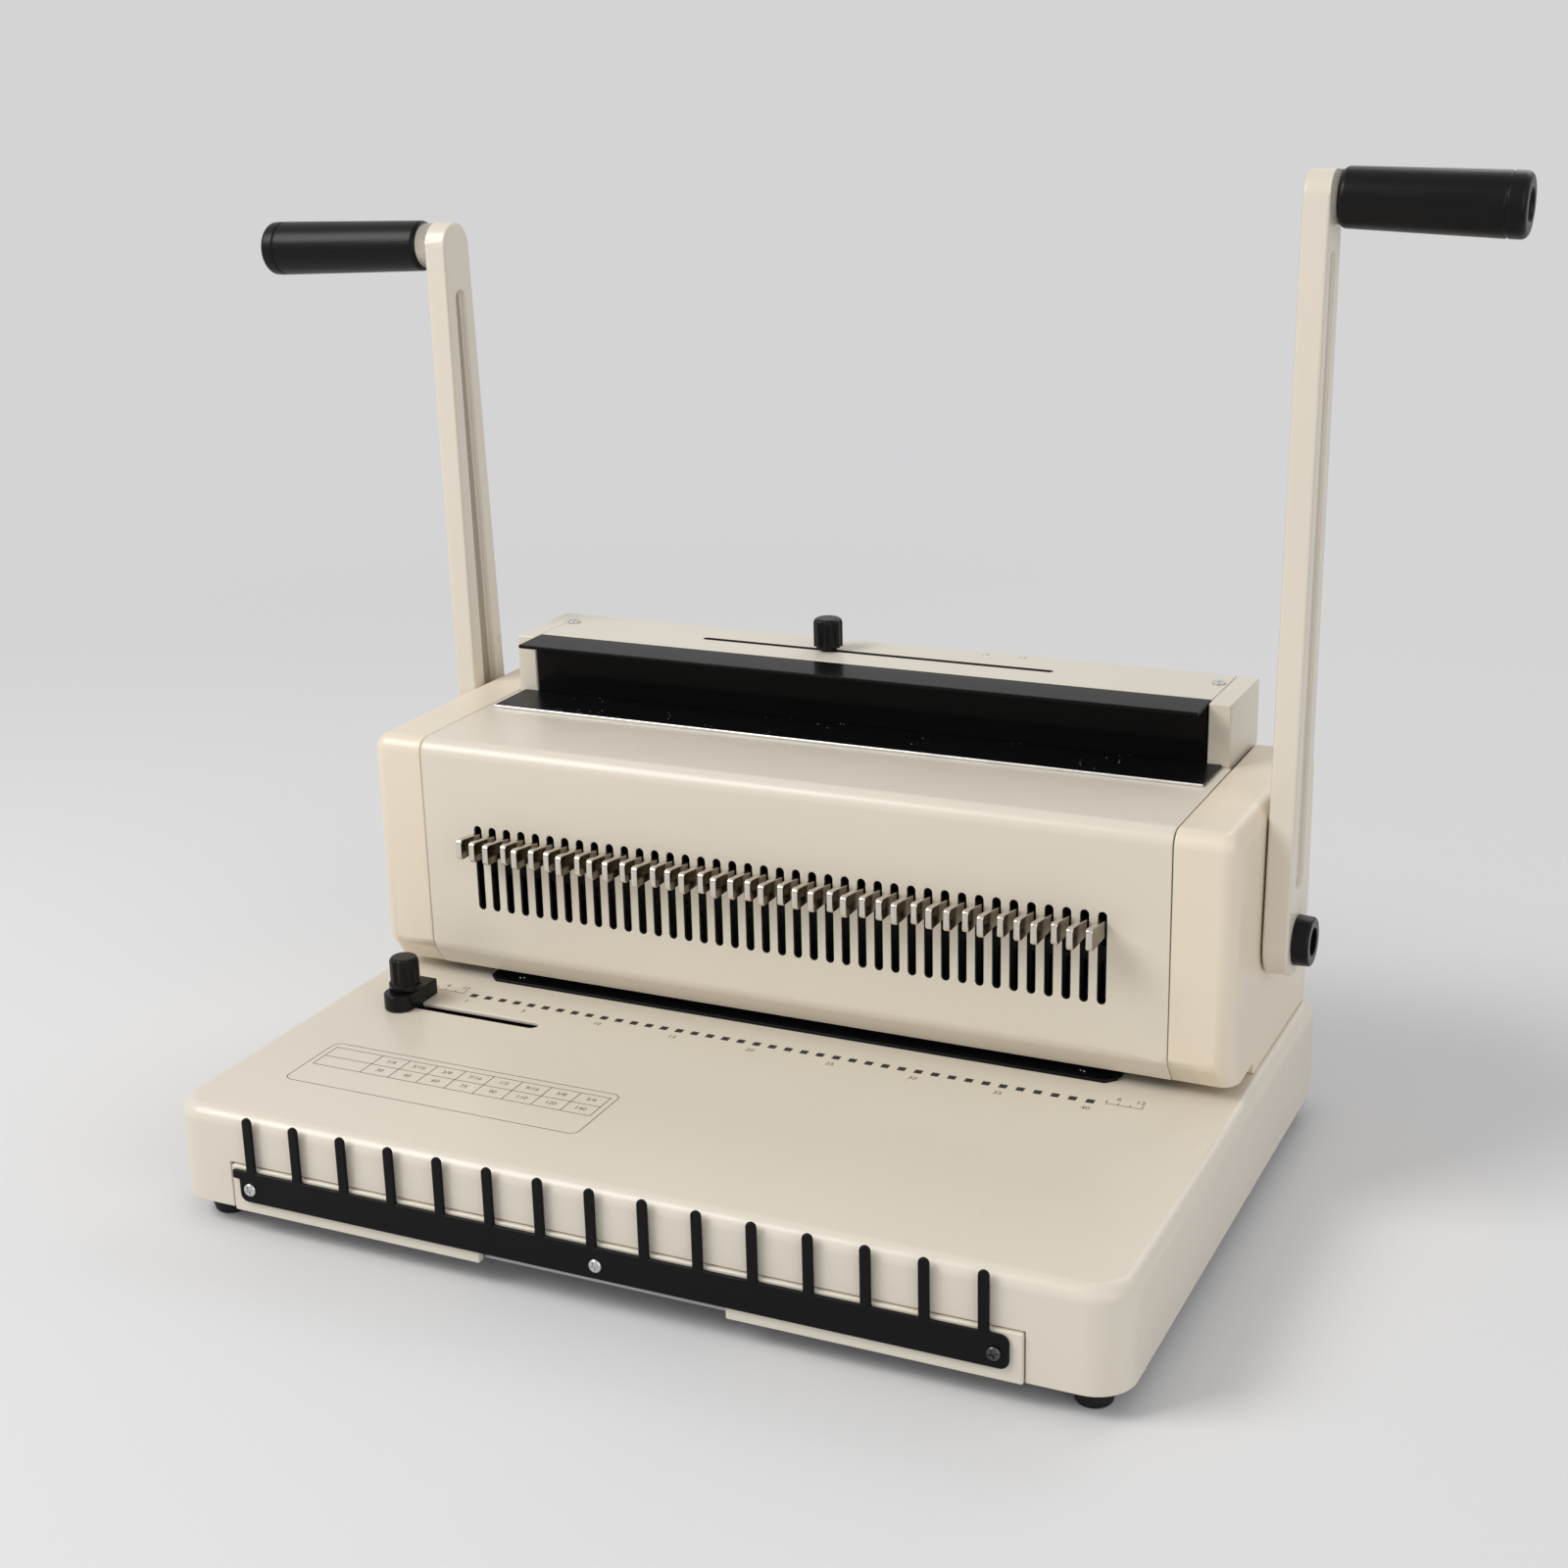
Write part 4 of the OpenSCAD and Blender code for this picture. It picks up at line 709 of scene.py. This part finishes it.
def lettering(bm: Shape, text: str, middle: Vector, height: float, depth: float) -> None:
    """Adds flat raised figures to a bmesh.

    Args:
        bm: The bmesh.
        text: The figures.
        middle: Their middle in the frame.
        height: Size of the type in millimetres.
        depth: Half of their thickness in millimetres.
    """
    curve = bpy.data.curves.new("figures", "FONT")
    curve.body = text
    curve.size = height * MM
    curve.align_x = "CENTER"
    curve.align_y = "CENTER"
    curve.extrude = depth * MM
    curve.resolution_u = 2
    carrier = bpy.data.objects.new("figures", curve)
    bpy.context.scene.collection.objects.link(carrier)
    bpy.context.view_layer.update()
    shown = carrier.evaluated_get(bpy.context.evaluated_depsgraph_get())
    mesh = bpy.data.meshes.new_from_object(shown)
    mesh.transform(Matrix.Translation(middle))
    bm.from_mesh(mesh)
    bpy.data.objects.remove(carrier)
    bpy.data.curves.remove(curve)
    bpy.data.meshes.remove(mesh)


@dataclass
class Base:
    """Base shell with its bottom, feet and runners."""

    edge: Rounding = Rounding(0.5)
    foot_edge: Rounding = Rounding(0.4)
    hidden: tuple[str, ...] = ("bottom_plate", "foot_screws", "drawer_runners")

    def build(self, bench: Workbench) -> None:
        """Eases the shell and the feet and keeps the rest."""
        bench.ease("base_shell", self.edge)
        bench.ease("feet", self.foot_edge)
        bench.keep(*self.hidden)


@dataclass
class DeckPrint:
    """Marks printed on the deck and lid: hole squares, plain numbers, edge scales and a sheet table."""

    pitch: float = 8.466
    count: int = 40
    mark_y: float = -13.4
    mark_side: float = 3.9
    number_y: float = -21.0
    number_size: float = 4.6
    number_step: int = 5
    rise: float = 0.03
    sink: float = 0.03
    line: float = 0.42
    scale_y: float = -12.6
    scale_start: float = 7.0
    scale_len: float = 17.0
    scale_steps: int = 3
    end_tick: float = 3.2
    inner_tick: float = 1.92
    scale_figures: tuple[tuple[str, float], ...] = (("6", 4.76), ("12", 14.96))
    scale_figure_y: float = 5.8
    table_low: tuple[float, float] = (-197.0, -133.0)
    table_high: tuple[float, float] = (-37.0, -89.0)
    table_corner: float = 4.5
    table_corner_segments: int = 8
    table_row: float = 10.0
    table_top: float = 4.5
    table_side: float = 3.5
    table_first: float = 27.0
    table_cells: int = 8
    table_figures: tuple[tuple[str, ...], ...] = (
        ("1/4", "5/16", "3/8", "7/16", "1/2", "9/16", "5/8", "3/4"),
        ("30", "45", "60", "75", "90", "110", "120", "140"))
    figure_size: float = 4.2
    lid_figures: tuple[tuple[str, float], ...] = (("12", 54.5), ("14", 74.3))
    lid_y: float = 145.0
    lid_z: float = 161.0
    lid_size: float = 5.0

    def build(self, bench: Workbench) -> None:
        """Prints every group of marks."""
        self.print_marks(bench)
        self.print_numbers(bench)
        self.print_scales(bench)
        self.print_table(bench)
        self.print_lid(bench)

    def print_lid(self, bench: Workbench) -> None:
        """Prints faint plain numbers behind the slot in the lid."""
        bm = bmesh.new()
        for text, x in self.lid_figures:
            lettering(bm, text, bench.layout.at(x, self.lid_y, self.lid_z), self.lid_size, self.rise)
        bench.piece("lid_numbers", bm, BASE_BODY, GREY_INK)

    def hole_x(self, number: int) -> float:
        """Returns the place of a hole, counted from 1 at the left."""
        return (number - (self.count + 1) / 2) * self.pitch

    def bar(self, bench: Workbench, bm: Shape, x0: float, y0: float, x1: float, y1: float) -> None:
        """Adds a flat printed bar between two corners of the deck."""
        slab(bm, bench.layout.at(x0, y0, -self.sink), bench.layout.at(x1, y1, self.rise))

    def figure(self, bench: Workbench, bm: Shape, text: str, x: float, y: float, size: float) -> None:
        """Adds printed figures about a point of the deck."""
        lettering(bm, text, bench.layout.at(x, y, 0), size, self.rise)

    def print_marks(self, bench: Workbench) -> None:
        """Prints a square in front of each hole."""
        bm = bmesh.new()
        half = self.mark_side / 2
        for number in range(1, self.count + 1):
            x = self.hole_x(number)
            self.bar(bench, bm, x - half, self.mark_y - half, x + half, self.mark_y + half)
        bench.piece("hole_marks", bm, BASE_BODY, INK)

    def print_numbers(self, bench: Workbench) -> None:
        """Prints the number of the first and of every fifth hole."""
        bm = bmesh.new()
        for number in (1, *range(self.number_step, self.count + 1, self.number_step)):
            self.figure(bench, bm, str(number), self.hole_x(number), self.number_y, self.number_size)
        bench.piece("hole_numbers", bm, BASE_BODY, FAINT_INK)

    def print_scales(self, bench: Workbench) -> None:
        """Prints a short scale beyond each end of the row."""
        bm = bmesh.new()
        for side in (-1, 1):
            start = side * (self.hole_x(self.count) + self.scale_start)
            low = min(start, start + side * self.scale_len)
            self.bar(bench, bm, low, self.scale_y - self.line, low + self.scale_len, self.scale_y)
            for step in range(self.scale_steps + 1):
                x = low + self.scale_len * step / self.scale_steps
                tall = self.end_tick if step in (0, self.scale_steps) else self.inner_tick
                self.bar(bench, bm, x - self.line / 2, self.scale_y, x + self.line / 2, self.scale_y + tall)
            for text, x in self.scale_figures:
                y = self.scale_y + self.scale_figure_y
                self.figure(bench, bm, text, low + x, y, self.number_size)
        bench.piece("edge_scales", bm, BASE_BODY, FAINT_INK)

    def print_table(self, bench: Workbench) -> None:
        """Prints a rounded frame with a table of plain numbers."""
        bm = bmesh.new()
        low, high = Vector(self.table_low), Vector(self.table_high)
        middle, size = (low + high) / 2, high - low
        place = Matrix.Translation(bench.layout.at(middle.x, middle.y, -self.sink))
        bmesh.ops.create_grid(bm, x_segments=1, y_segments=1, size=0.5,
                              matrix=place @ Matrix.Diagonal((size.x * MM, size.y * MM, 1.0, 1.0)))
        bmesh.ops.bevel(bm, geom=bm.verts[:], offset=self.table_corner * MM, offset_type="OFFSET",
                        segments=self.table_corner_segments, profile=0.5, affect="VERTICES", material=-1)
        inner = bm.faces[:]
        bmesh.ops.inset_region(bm, faces=inner, thickness=self.line * MM, use_boundary=True,
                               use_even_offset=True)
        bmesh.ops.delete(bm, geom=inner, context="FACES")
        rim = bmesh.ops.extrude_face_region(bm, geom=bm.faces[:])
        raised = [v for v in rim["geom"] if isinstance(v, bmesh.types.BMVert)]
        bmesh.ops.translate(bm, verts=raised, vec=Vector((0, 0, (self.sink + self.rise) * MM)))
        bmesh.ops.recalc_face_normals(bm, faces=bm.faces)
        self.print_cells(bench, bm, low, high)
        bench.piece("sheet_table", bm, BASE_BODY, FAINT_INK)

    def print_cells(self, bench: Workbench, bm: Shape, low: Vector, high: Vector) -> None:
        """Adds the table's lines and numbers.

        Args:
            bench: The workbench.
            bm: The bmesh that takes them.
            low: Lower left corner of the frame on the deck, in millimetres.
            high: Upper right corner of it.
        """
        x0, x1 = low.x + self.table_side, high.x - self.table_side
        top = high.y - self.table_top
        rows = len(self.table_figures)
        for row in range(rows + 1):
            y = top - row * self.table_row
            self.bar(bench, bm, x0, y - self.line, x1, y)
        cell = (x1 - x0 - self.table_first) / self.table_cells
        columns = [x0, *(x0 + self.table_first + cell * k for k in range(self.table_cells + 1))]
        for x in columns:
            self.bar(bench, bm, x - self.line / 2, top - rows * self.table_row, x + self.line / 2, top)
        for row, figures in enumerate(self.table_figures):
            y = top - (row + 0.5) * self.table_row
            for k, text in enumerate(figures):
                self.figure(bench, bm, text, columns[k + 1] + cell / 2, y, self.figure_size)


@dataclass
class Housing:
    """Front panel, side covers, die plate and the frames inside them."""

    panel_edge: Rounding = Rounding(0.4)
    die_edge: Rounding = Rounding(0.4, outer_only=True)
    cover_edge: Rounding = Rounding(1.0, 3)
    fold: Rounding = Rounding(3.0, 4, SOFT_CREASE)
    fold_low: Point = (-218.0, -1.0, 16.0)
    fold_high: Point = (218.0, 6.5, 22.0)
    bend_low: Point = (-235.0, -1.0, 9.0)
    bend_high: Point = (235.0, 12.0, 24.0)
    slots_low: Point = (-170.0, 0.3, 40.0)
    slots_high: Point = (170.0, 30.0, 90.0)
    rivets: tuple[tuple[float, float], ...] = ((-153.4, 13.0), (-151.4, 13.7), (151.4, 13.7), (153.4, 13.0))
    rivet_z: float = 1.5
    rivet_r: float = 0.6
    rivet_sides: int = 12
    rivet_rings: int = 8
    hidden: tuple[str, ...] = ("frame_left", "frame_right", "frame_screws", "punch_guide", "paper_stop",
                               "spring_beam", "guide_rods", "ram_springs")

    def build(self, bench: Workbench) -> None:
        """Eases the outside and keeps the inside."""
        layout = bench.layout
        fold = replace(self.fold, where=layout.inside(self.fold_low, self.fold_high))
        # Painted shade on the walls of the panel's slots.
        slots = SLOTTED_CREAM.within(
            "slotted_panel_coat", layout.at(*self.slots_low), layout.at(*self.slots_high))
        bench.ease("front_panel", fold, self.panel_edge, finish=slots)
        bend = layout.inside(self.bend_low, self.bend_high)
        cover_edge = replace(self.cover_edge, where=lambda point: not bend(point))
        bench.ease("side_cover_left", fold, cover_edge)
        bench.ease("side_cover_right", fold, cover_edge)
        bench.ease("die_plate", self.die_edge)
        self.rivet(bench)
        bench.keep(*self.hidden)

    def rivet(self, bench: Workbench) -> None:
        """Sets the small rivets near the ends of the die plate."""
        bm = bmesh.new()
        for x, y in self.rivets:
            bmesh.ops.create_uvsphere(
                bm, u_segments=self.rivet_sides, v_segments=self.rivet_rings, radius=self.rivet_r * MM,
                matrix=Matrix.Translation(bench.layout.at(x, y, self.rivet_z)))
        bench.piece("die_rivets", bm, BASE_BODY, ZINC)


@dataclass
class PunchRow:
    """Pull tabs, pins and the ram that drives them."""

    tab_edge: Rounding = Rounding(0.7, 3)
    tabs: tuple[str, ...] = ("pull_tabs", "tab_left_1", "tab_left_2", "tab_left_3", "tab_right_1",
                             "tab_right_2", "tab_right_3")
    hidden: tuple[str, ...] = ("punch_pins", "ram_bar", "lifter_bar", "ram_racks")

    def build(self, bench: Workbench) -> None:
        """Eases the tabs and keeps the ram."""
        for tab in self.tabs:
            bench.ease(tab, self.tab_edge)
        bench.keep(*self.hidden)


@dataclass
class LoopPress:
    """Rear housing with its lid, the anvil, the jaw and the size setting."""

    sheet_edge: Rounding = Rounding(0.9, 3)
    jaw_edge: Rounding = Rounding(0.5)
    knob_edge: Rounding = Rounding(0.35)
    screw_edge: Rounding = Rounding(0.15)
    flange_edge: Rounding = Rounding(0.4)
    lid_slot_low: Point = (-99.0, 123.6, 154.0)
    lid_slot_high: Point = (99.0, 128.4, 160.88)
    flange_low: Point = (-183.5, 140.5, 0.35)
    flange_high: Point = (183.5, 148.0, 2.3)
    hidden: tuple[str, ...] = ("anvil_beam", "jaw_racks", "jaw_springs", "size_block")

    def build(self, bench: Workbench) -> None:
        """Eases what shows and keeps the drive."""
        # Painted shade on the walls of the lid's slot.
        lid = SLOTTED_CREAM.within(
            "slotted_lid_coat", bench.layout.at(*self.lid_slot_low), bench.layout.at(*self.lid_slot_high))
        bench.ease("rear_cover", self.sheet_edge, finish=lid)
        self.flange(bench)
        for node in ("rear_end_left", "rear_end_right"):
            bench.ease(node, self.sheet_edge)
        bench.ease("press_jaw", self.jaw_edge, finish=GLOSS_BLACK)
        anvil = replace(WORN_BLACK, edge=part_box("anvil_plate")[0].y)
        bench.ease("anvil_plate", self.jaw_edge, finish=anvil)
        bench.ease("size_knob", self.knob_edge)
        bench.ease("lid_screws", self.screw_edge)
        bench.keep(*self.hidden)

    def flange(self, bench: Workbench) -> None:
        """Adds the flange along the foot of the rear cover, which keeps light out of the housing."""
        bm = bmesh.new()
        slab(bm, bench.layout.at(*self.flange_low), bench.layout.at(*self.flange_high))
        self.flange_edge.apply(bm)
        bench.piece("rear_cover_flange", bm, bench.body["rear_cover"], CREAM)


@dataclass
class Lever:
    """One of the two handles with its shaft and drive."""

    side: str
    arm_edge: Rounding = Rounding(1.5, 3)
    crown_edge: Rounding = Rounding(0.25)
    crown_radius: float = 12.0
    crown_reach: float = 0.3
    groove_clear: float = 0.3
    grip_edge: Rounding = Rounding(0.3)
    cap_edge: Rounding = Rounding(0.5)

    def build(self, bench: Workbench) -> None:
        """Eases the arm, cap and grip and keeps the drive."""
        crown = self.crown()
        arm_edge = replace(self.arm_edge, where=lambda point: crown(point) > 1.0)
        crown_edge = replace(self.crown_edge, where=lambda point: abs(crown(point)) < 1.0)
        bench.ease(f"{self.side}_arm", arm_edge, crown_edge, finish=self.arm_finish())
        bench.ease(f"{self.side}_grip", self.grip_edge)
        bench.ease(f"{self.side}_hub_cap", self.cap_edge)
        bench.keep(*(f"{self.side}_{part}" for part in ("shaft", "pinions", "bushes", "grip_stud")))

    def arm_finish(self) -> SlottedCoat:
        """Returns the cream coat with painted shade in the grooves between the two faces of the arm."""
        arm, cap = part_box(f"{self.side}_arm"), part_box(f"{self.side}_hub_cap")
        faces = [min((corner.x for corner in box), key=abs) for box in (arm, cap)]
        clear = self.groove_clear * MM
        low = Vector((min(faces) + clear, arm[0].y, arm[0].z))
        high = Vector((max(faces) - clear, arm[1].y, arm[1].z))
        return GROOVED_CREAM.within(f"{self.side}_arm_coat", low, high)

    def crown(self) -> Callable[[Vector], float]:
        """Returns a measure of points: under -1 on the boss, -1 to 1 on the outer edge round it."""
        arm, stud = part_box(f"{self.side}_arm"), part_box(f"{self.side}_grip_stud")
        middle, axis = sum(arm, Vector()) / 2, sum(stud, Vector()) / 2
        axis.z = arm[1].z - self.crown_radius * MM
        outward = axis.x - middle.x

        def measure(point: Vector) -> float:
            """Returns how far a point lies outside the crown, in reaches."""
            if (point.x - middle.x) * outward < 0:
                return math.inf
            away = math.hypot(point.y - axis.y, point.z - axis.z) / MM
            return (away - self.crown_radius) / self.crown_reach

        return measure


@dataclass
class MarginGuide:
    """Stop that slides along the deck, with its clamping knob."""

    block_edge: Rounding = Rounding(0.8, 3)
    knob_edge: Rounding = Rounding(0.35)

    def build(self, bench: Workbench) -> None:
        """Eases the block and knob and keeps the nut."""
        bench.ease("margin_block", self.block_edge)
        bench.ease("margin_knob", self.knob_edge)
        bench.keep("margin_nut")


@dataclass
class ChipDrawer:
    """Chip tray with its front, the comb and the comb's screws."""

    front_edge: Rounding = Rounding(0.9, 3)
    comb_edge: Rounding = Rounding(0.7, 3)
    screw_edge: Rounding = Rounding(0.12)
    dark_from: float = 100.0
    dark_room: float = 1.0

    def build(self, bench: Workbench) -> None:
        """Eases the front, comb and screws and keeps the tray."""
        bench.ease("drawer_front", self.front_edge)
        bench.ease("comb_rack", self.comb_edge)
        bench.ease("comb_screws", self.screw_edge, finish=self.screw_finish(bench.layout))
        bench.keep("chip_tray")

    def screw_finish(self, layout: Layout) -> BoxDarkenedMetal:
        """Returns the zinc of the screws, dark on the right one."""
        low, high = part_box("comb_screws")
        room = Vector((self.dark_room, self.dark_room, self.dark_room)) * MM
        start = Vector((layout.at(self.dark_from, 0.0, 0.0).x, low.y, low.z))
        return replace(BOX_DARKENED_ZINC, dark_low=tuple(start - room), dark_high=tuple(high + room))


@dataclass(frozen=True)
class Viewpoint:
    """Camera fitted to the photograph.

    Its place is in the layout, its turns are in radians and its focal length is in pixels of the image.
    """

    place: Point = (474.611, -976.066, 482.606)
    yaw: float = 0.446157
    pitch: float = 0.314873
    roll: float = -0.026060
    focal: float = 2461.09
    image: float = 1600.0
    sensor: float = 36.0

    def build(self, layout: Layout) -> None:
        """Makes the scene's camera."""
        ahead = Vector((-math.sin(self.yaw) * math.cos(self.pitch),
                        math.cos(self.yaw) * math.cos(self.pitch), -math.sin(self.pitch)))
        level = Vector((math.cos(self.yaw), math.sin(self.yaw), 0))
        upright = level.cross(ahead)
        right = level * math.cos(self.roll) + upright * math.sin(self.roll)
        up = upright * math.cos(self.roll) - level * math.sin(self.roll)
        data = bpy.data.cameras.new("camera")
        data.sensor_fit = "HORIZONTAL"
        data.sensor_width = self.sensor
        data.lens = self.focal / self.image * self.sensor
        camera = bpy.data.objects.new("camera", data)
        turn = Matrix((right, up, -ahead)).transposed().to_4x4()
        camera.matrix_world = Matrix.Translation(layout.at(*self.place)) @ turn
        bpy.context.scene.collection.objects.link(camera)
        bpy.context.scene.camera = camera


@dataclass(frozen=True)
class Lamp:
    """A square soft box that is aimed at the object, in metres."""

    name: str
    place: Point
    size: float
    power: float
    color: Color = (1.0, 1.0, 1.0)

    def build(self, aim: Vector) -> None:
        """Hangs the lamp and aims it."""
        data = bpy.data.lights.new(self.name, "AREA")
        data.shape = "SQUARE"
        data.size = self.size
        data.energy = self.power
        data.color = self.color
        lamp = bpy.data.objects.new(self.name, data)
        lamp.location = self.place
        lamp.rotation_mode = "QUATERNION"
        lamp.rotation_quaternion = (aim - lamp.location).to_track_quat("-Z", "Y")
        bpy.context.scene.collection.objects.link(lamp)


@dataclass
class Studio:
    """Pale floor, soft light and the room's even glow, in metres."""

    aim: Point = (0.0, 0.0, 0.14)
    floor_half: float = 30.0
    floor_near: float = 0.55
    floor_far: float = 1.7
    sky_light: float = 0.42
    pale: Color = (0.66, 0.66, 0.67)
    lamps: tuple[Lamp, ...] = (
        Lamp("key_left", (-1.5, -1.3, 2.0), 1.3, 46.0, (1.0, 0.985, 0.96)),
        Lamp("fill_right", (1.9, -1.2, 1.1), 1.8, 14.0),
        Lamp("rim_back", (0.5, 1.9, 1.7), 1.4, 11.0),
    )

    def build(self, layout: Layout) -> None:
        """Sets the camera, lamps, glow and floor."""
        Viewpoint().build(layout)
        for lamp in self.lamps:
            lamp.build(Vector(self.aim))
        self.glow()
        self.floor()
        bpy.context.scene.view_settings.view_transform = "Standard"

    def glow(self) -> None:
        """Makes the world: an even light, and a pale tone where it is seen or mirrored."""
        world = bpy.data.worlds.new("studio")
        world.use_nodes = True
        world.node_tree.nodes.clear()
        wire = Wire(world.node_tree)
        light = wire.add("Background", {"Color": (1.0, 1.0, 1.0, 1.0), "Strength": self.sky_light})
        pale = wire.add("Background", {"Color": (*self.pale, 1.0), "Strength": 1.0})
        mixed = wire.add("MixShader", {0: self.seen(wire), 1: light.outputs[0], 2: pale.outputs[0]})
        wire.add("OutputWorld", {"Surface": mixed.outputs[0]})
        bpy.context.scene.world = world

    def seen(self, wire: Wire) -> Socket:
        """Returns 1 for rays that show a thing to the camera, straight, mirrored or through glass."""
        ray = wire.add("LightPath").outputs
        straight = wire.math("MAXIMUM", ray["Is Camera Ray"], ray["Is Glossy Ray"])
        return wire.math("MAXIMUM", straight, ray["Is Transmission Ray"])

    def floor(self) -> None:
        """Lays the floor under the feet."""
        bm = bmesh.new()
        bmesh.ops.create_grid(bm, x_segments=1, y_segments=1, size=self.floor_half)
        mesh = bpy.data.meshes.new("floor")
        bm.to_mesh(mesh)
        bm.free()
        mesh.materials.append(self.paper())
        floor = bpy.data.objects.new("floor", mesh)
        bpy.context.scene.collection.objects.link(floor)

    def paper(self) -> bpy.types.Material:
        """Returns the floor's paper, which fades to an even pale tone away from the object."""
        made = PAPER.material()
        wire = Wire(made.node_tree)
        output = next(n for n in made.node_tree.nodes if n.type == "OUTPUT_MATERIAL")
        near = wire.source(output, "Surface")
        away = wire.add("VectorMath", {0: wire.place()}, operation="LENGTH").outputs["Value"]
        fade = wire.ramp(away, self.floor_near, self.floor_far, "SMOOTHSTEP")
        share = wire.math("MULTIPLY", fade, self.seen(wire))
        far = wire.add("Emission", {"Color": (*self.pale, 1.0), "Strength": 1.0})
        mixed = wire.add("MixShader", {0: share, 1: near, 2: far.outputs[0]})
        wire.feed(mixed.outputs[0], output.inputs["Surface"])
        return made


def main() -> None:
    """Builds the machine and the studio."""
    logging.basicConfig(level=logging.INFO, format="%(name)s: %(message)s")
    bench = Workbench()
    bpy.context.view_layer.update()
    Studio().build(bench.layout)
    for part in (Base(), DeckPrint(), Housing(), PunchRow(), LoopPress(), Lever("punch"), Lever("press"),
                 MarginGuide(), ChipDrawer()):
        part.build(bench)
        LOG.info("finished %s", type(part).__name__)


if __name__ == "__main__":
    main()
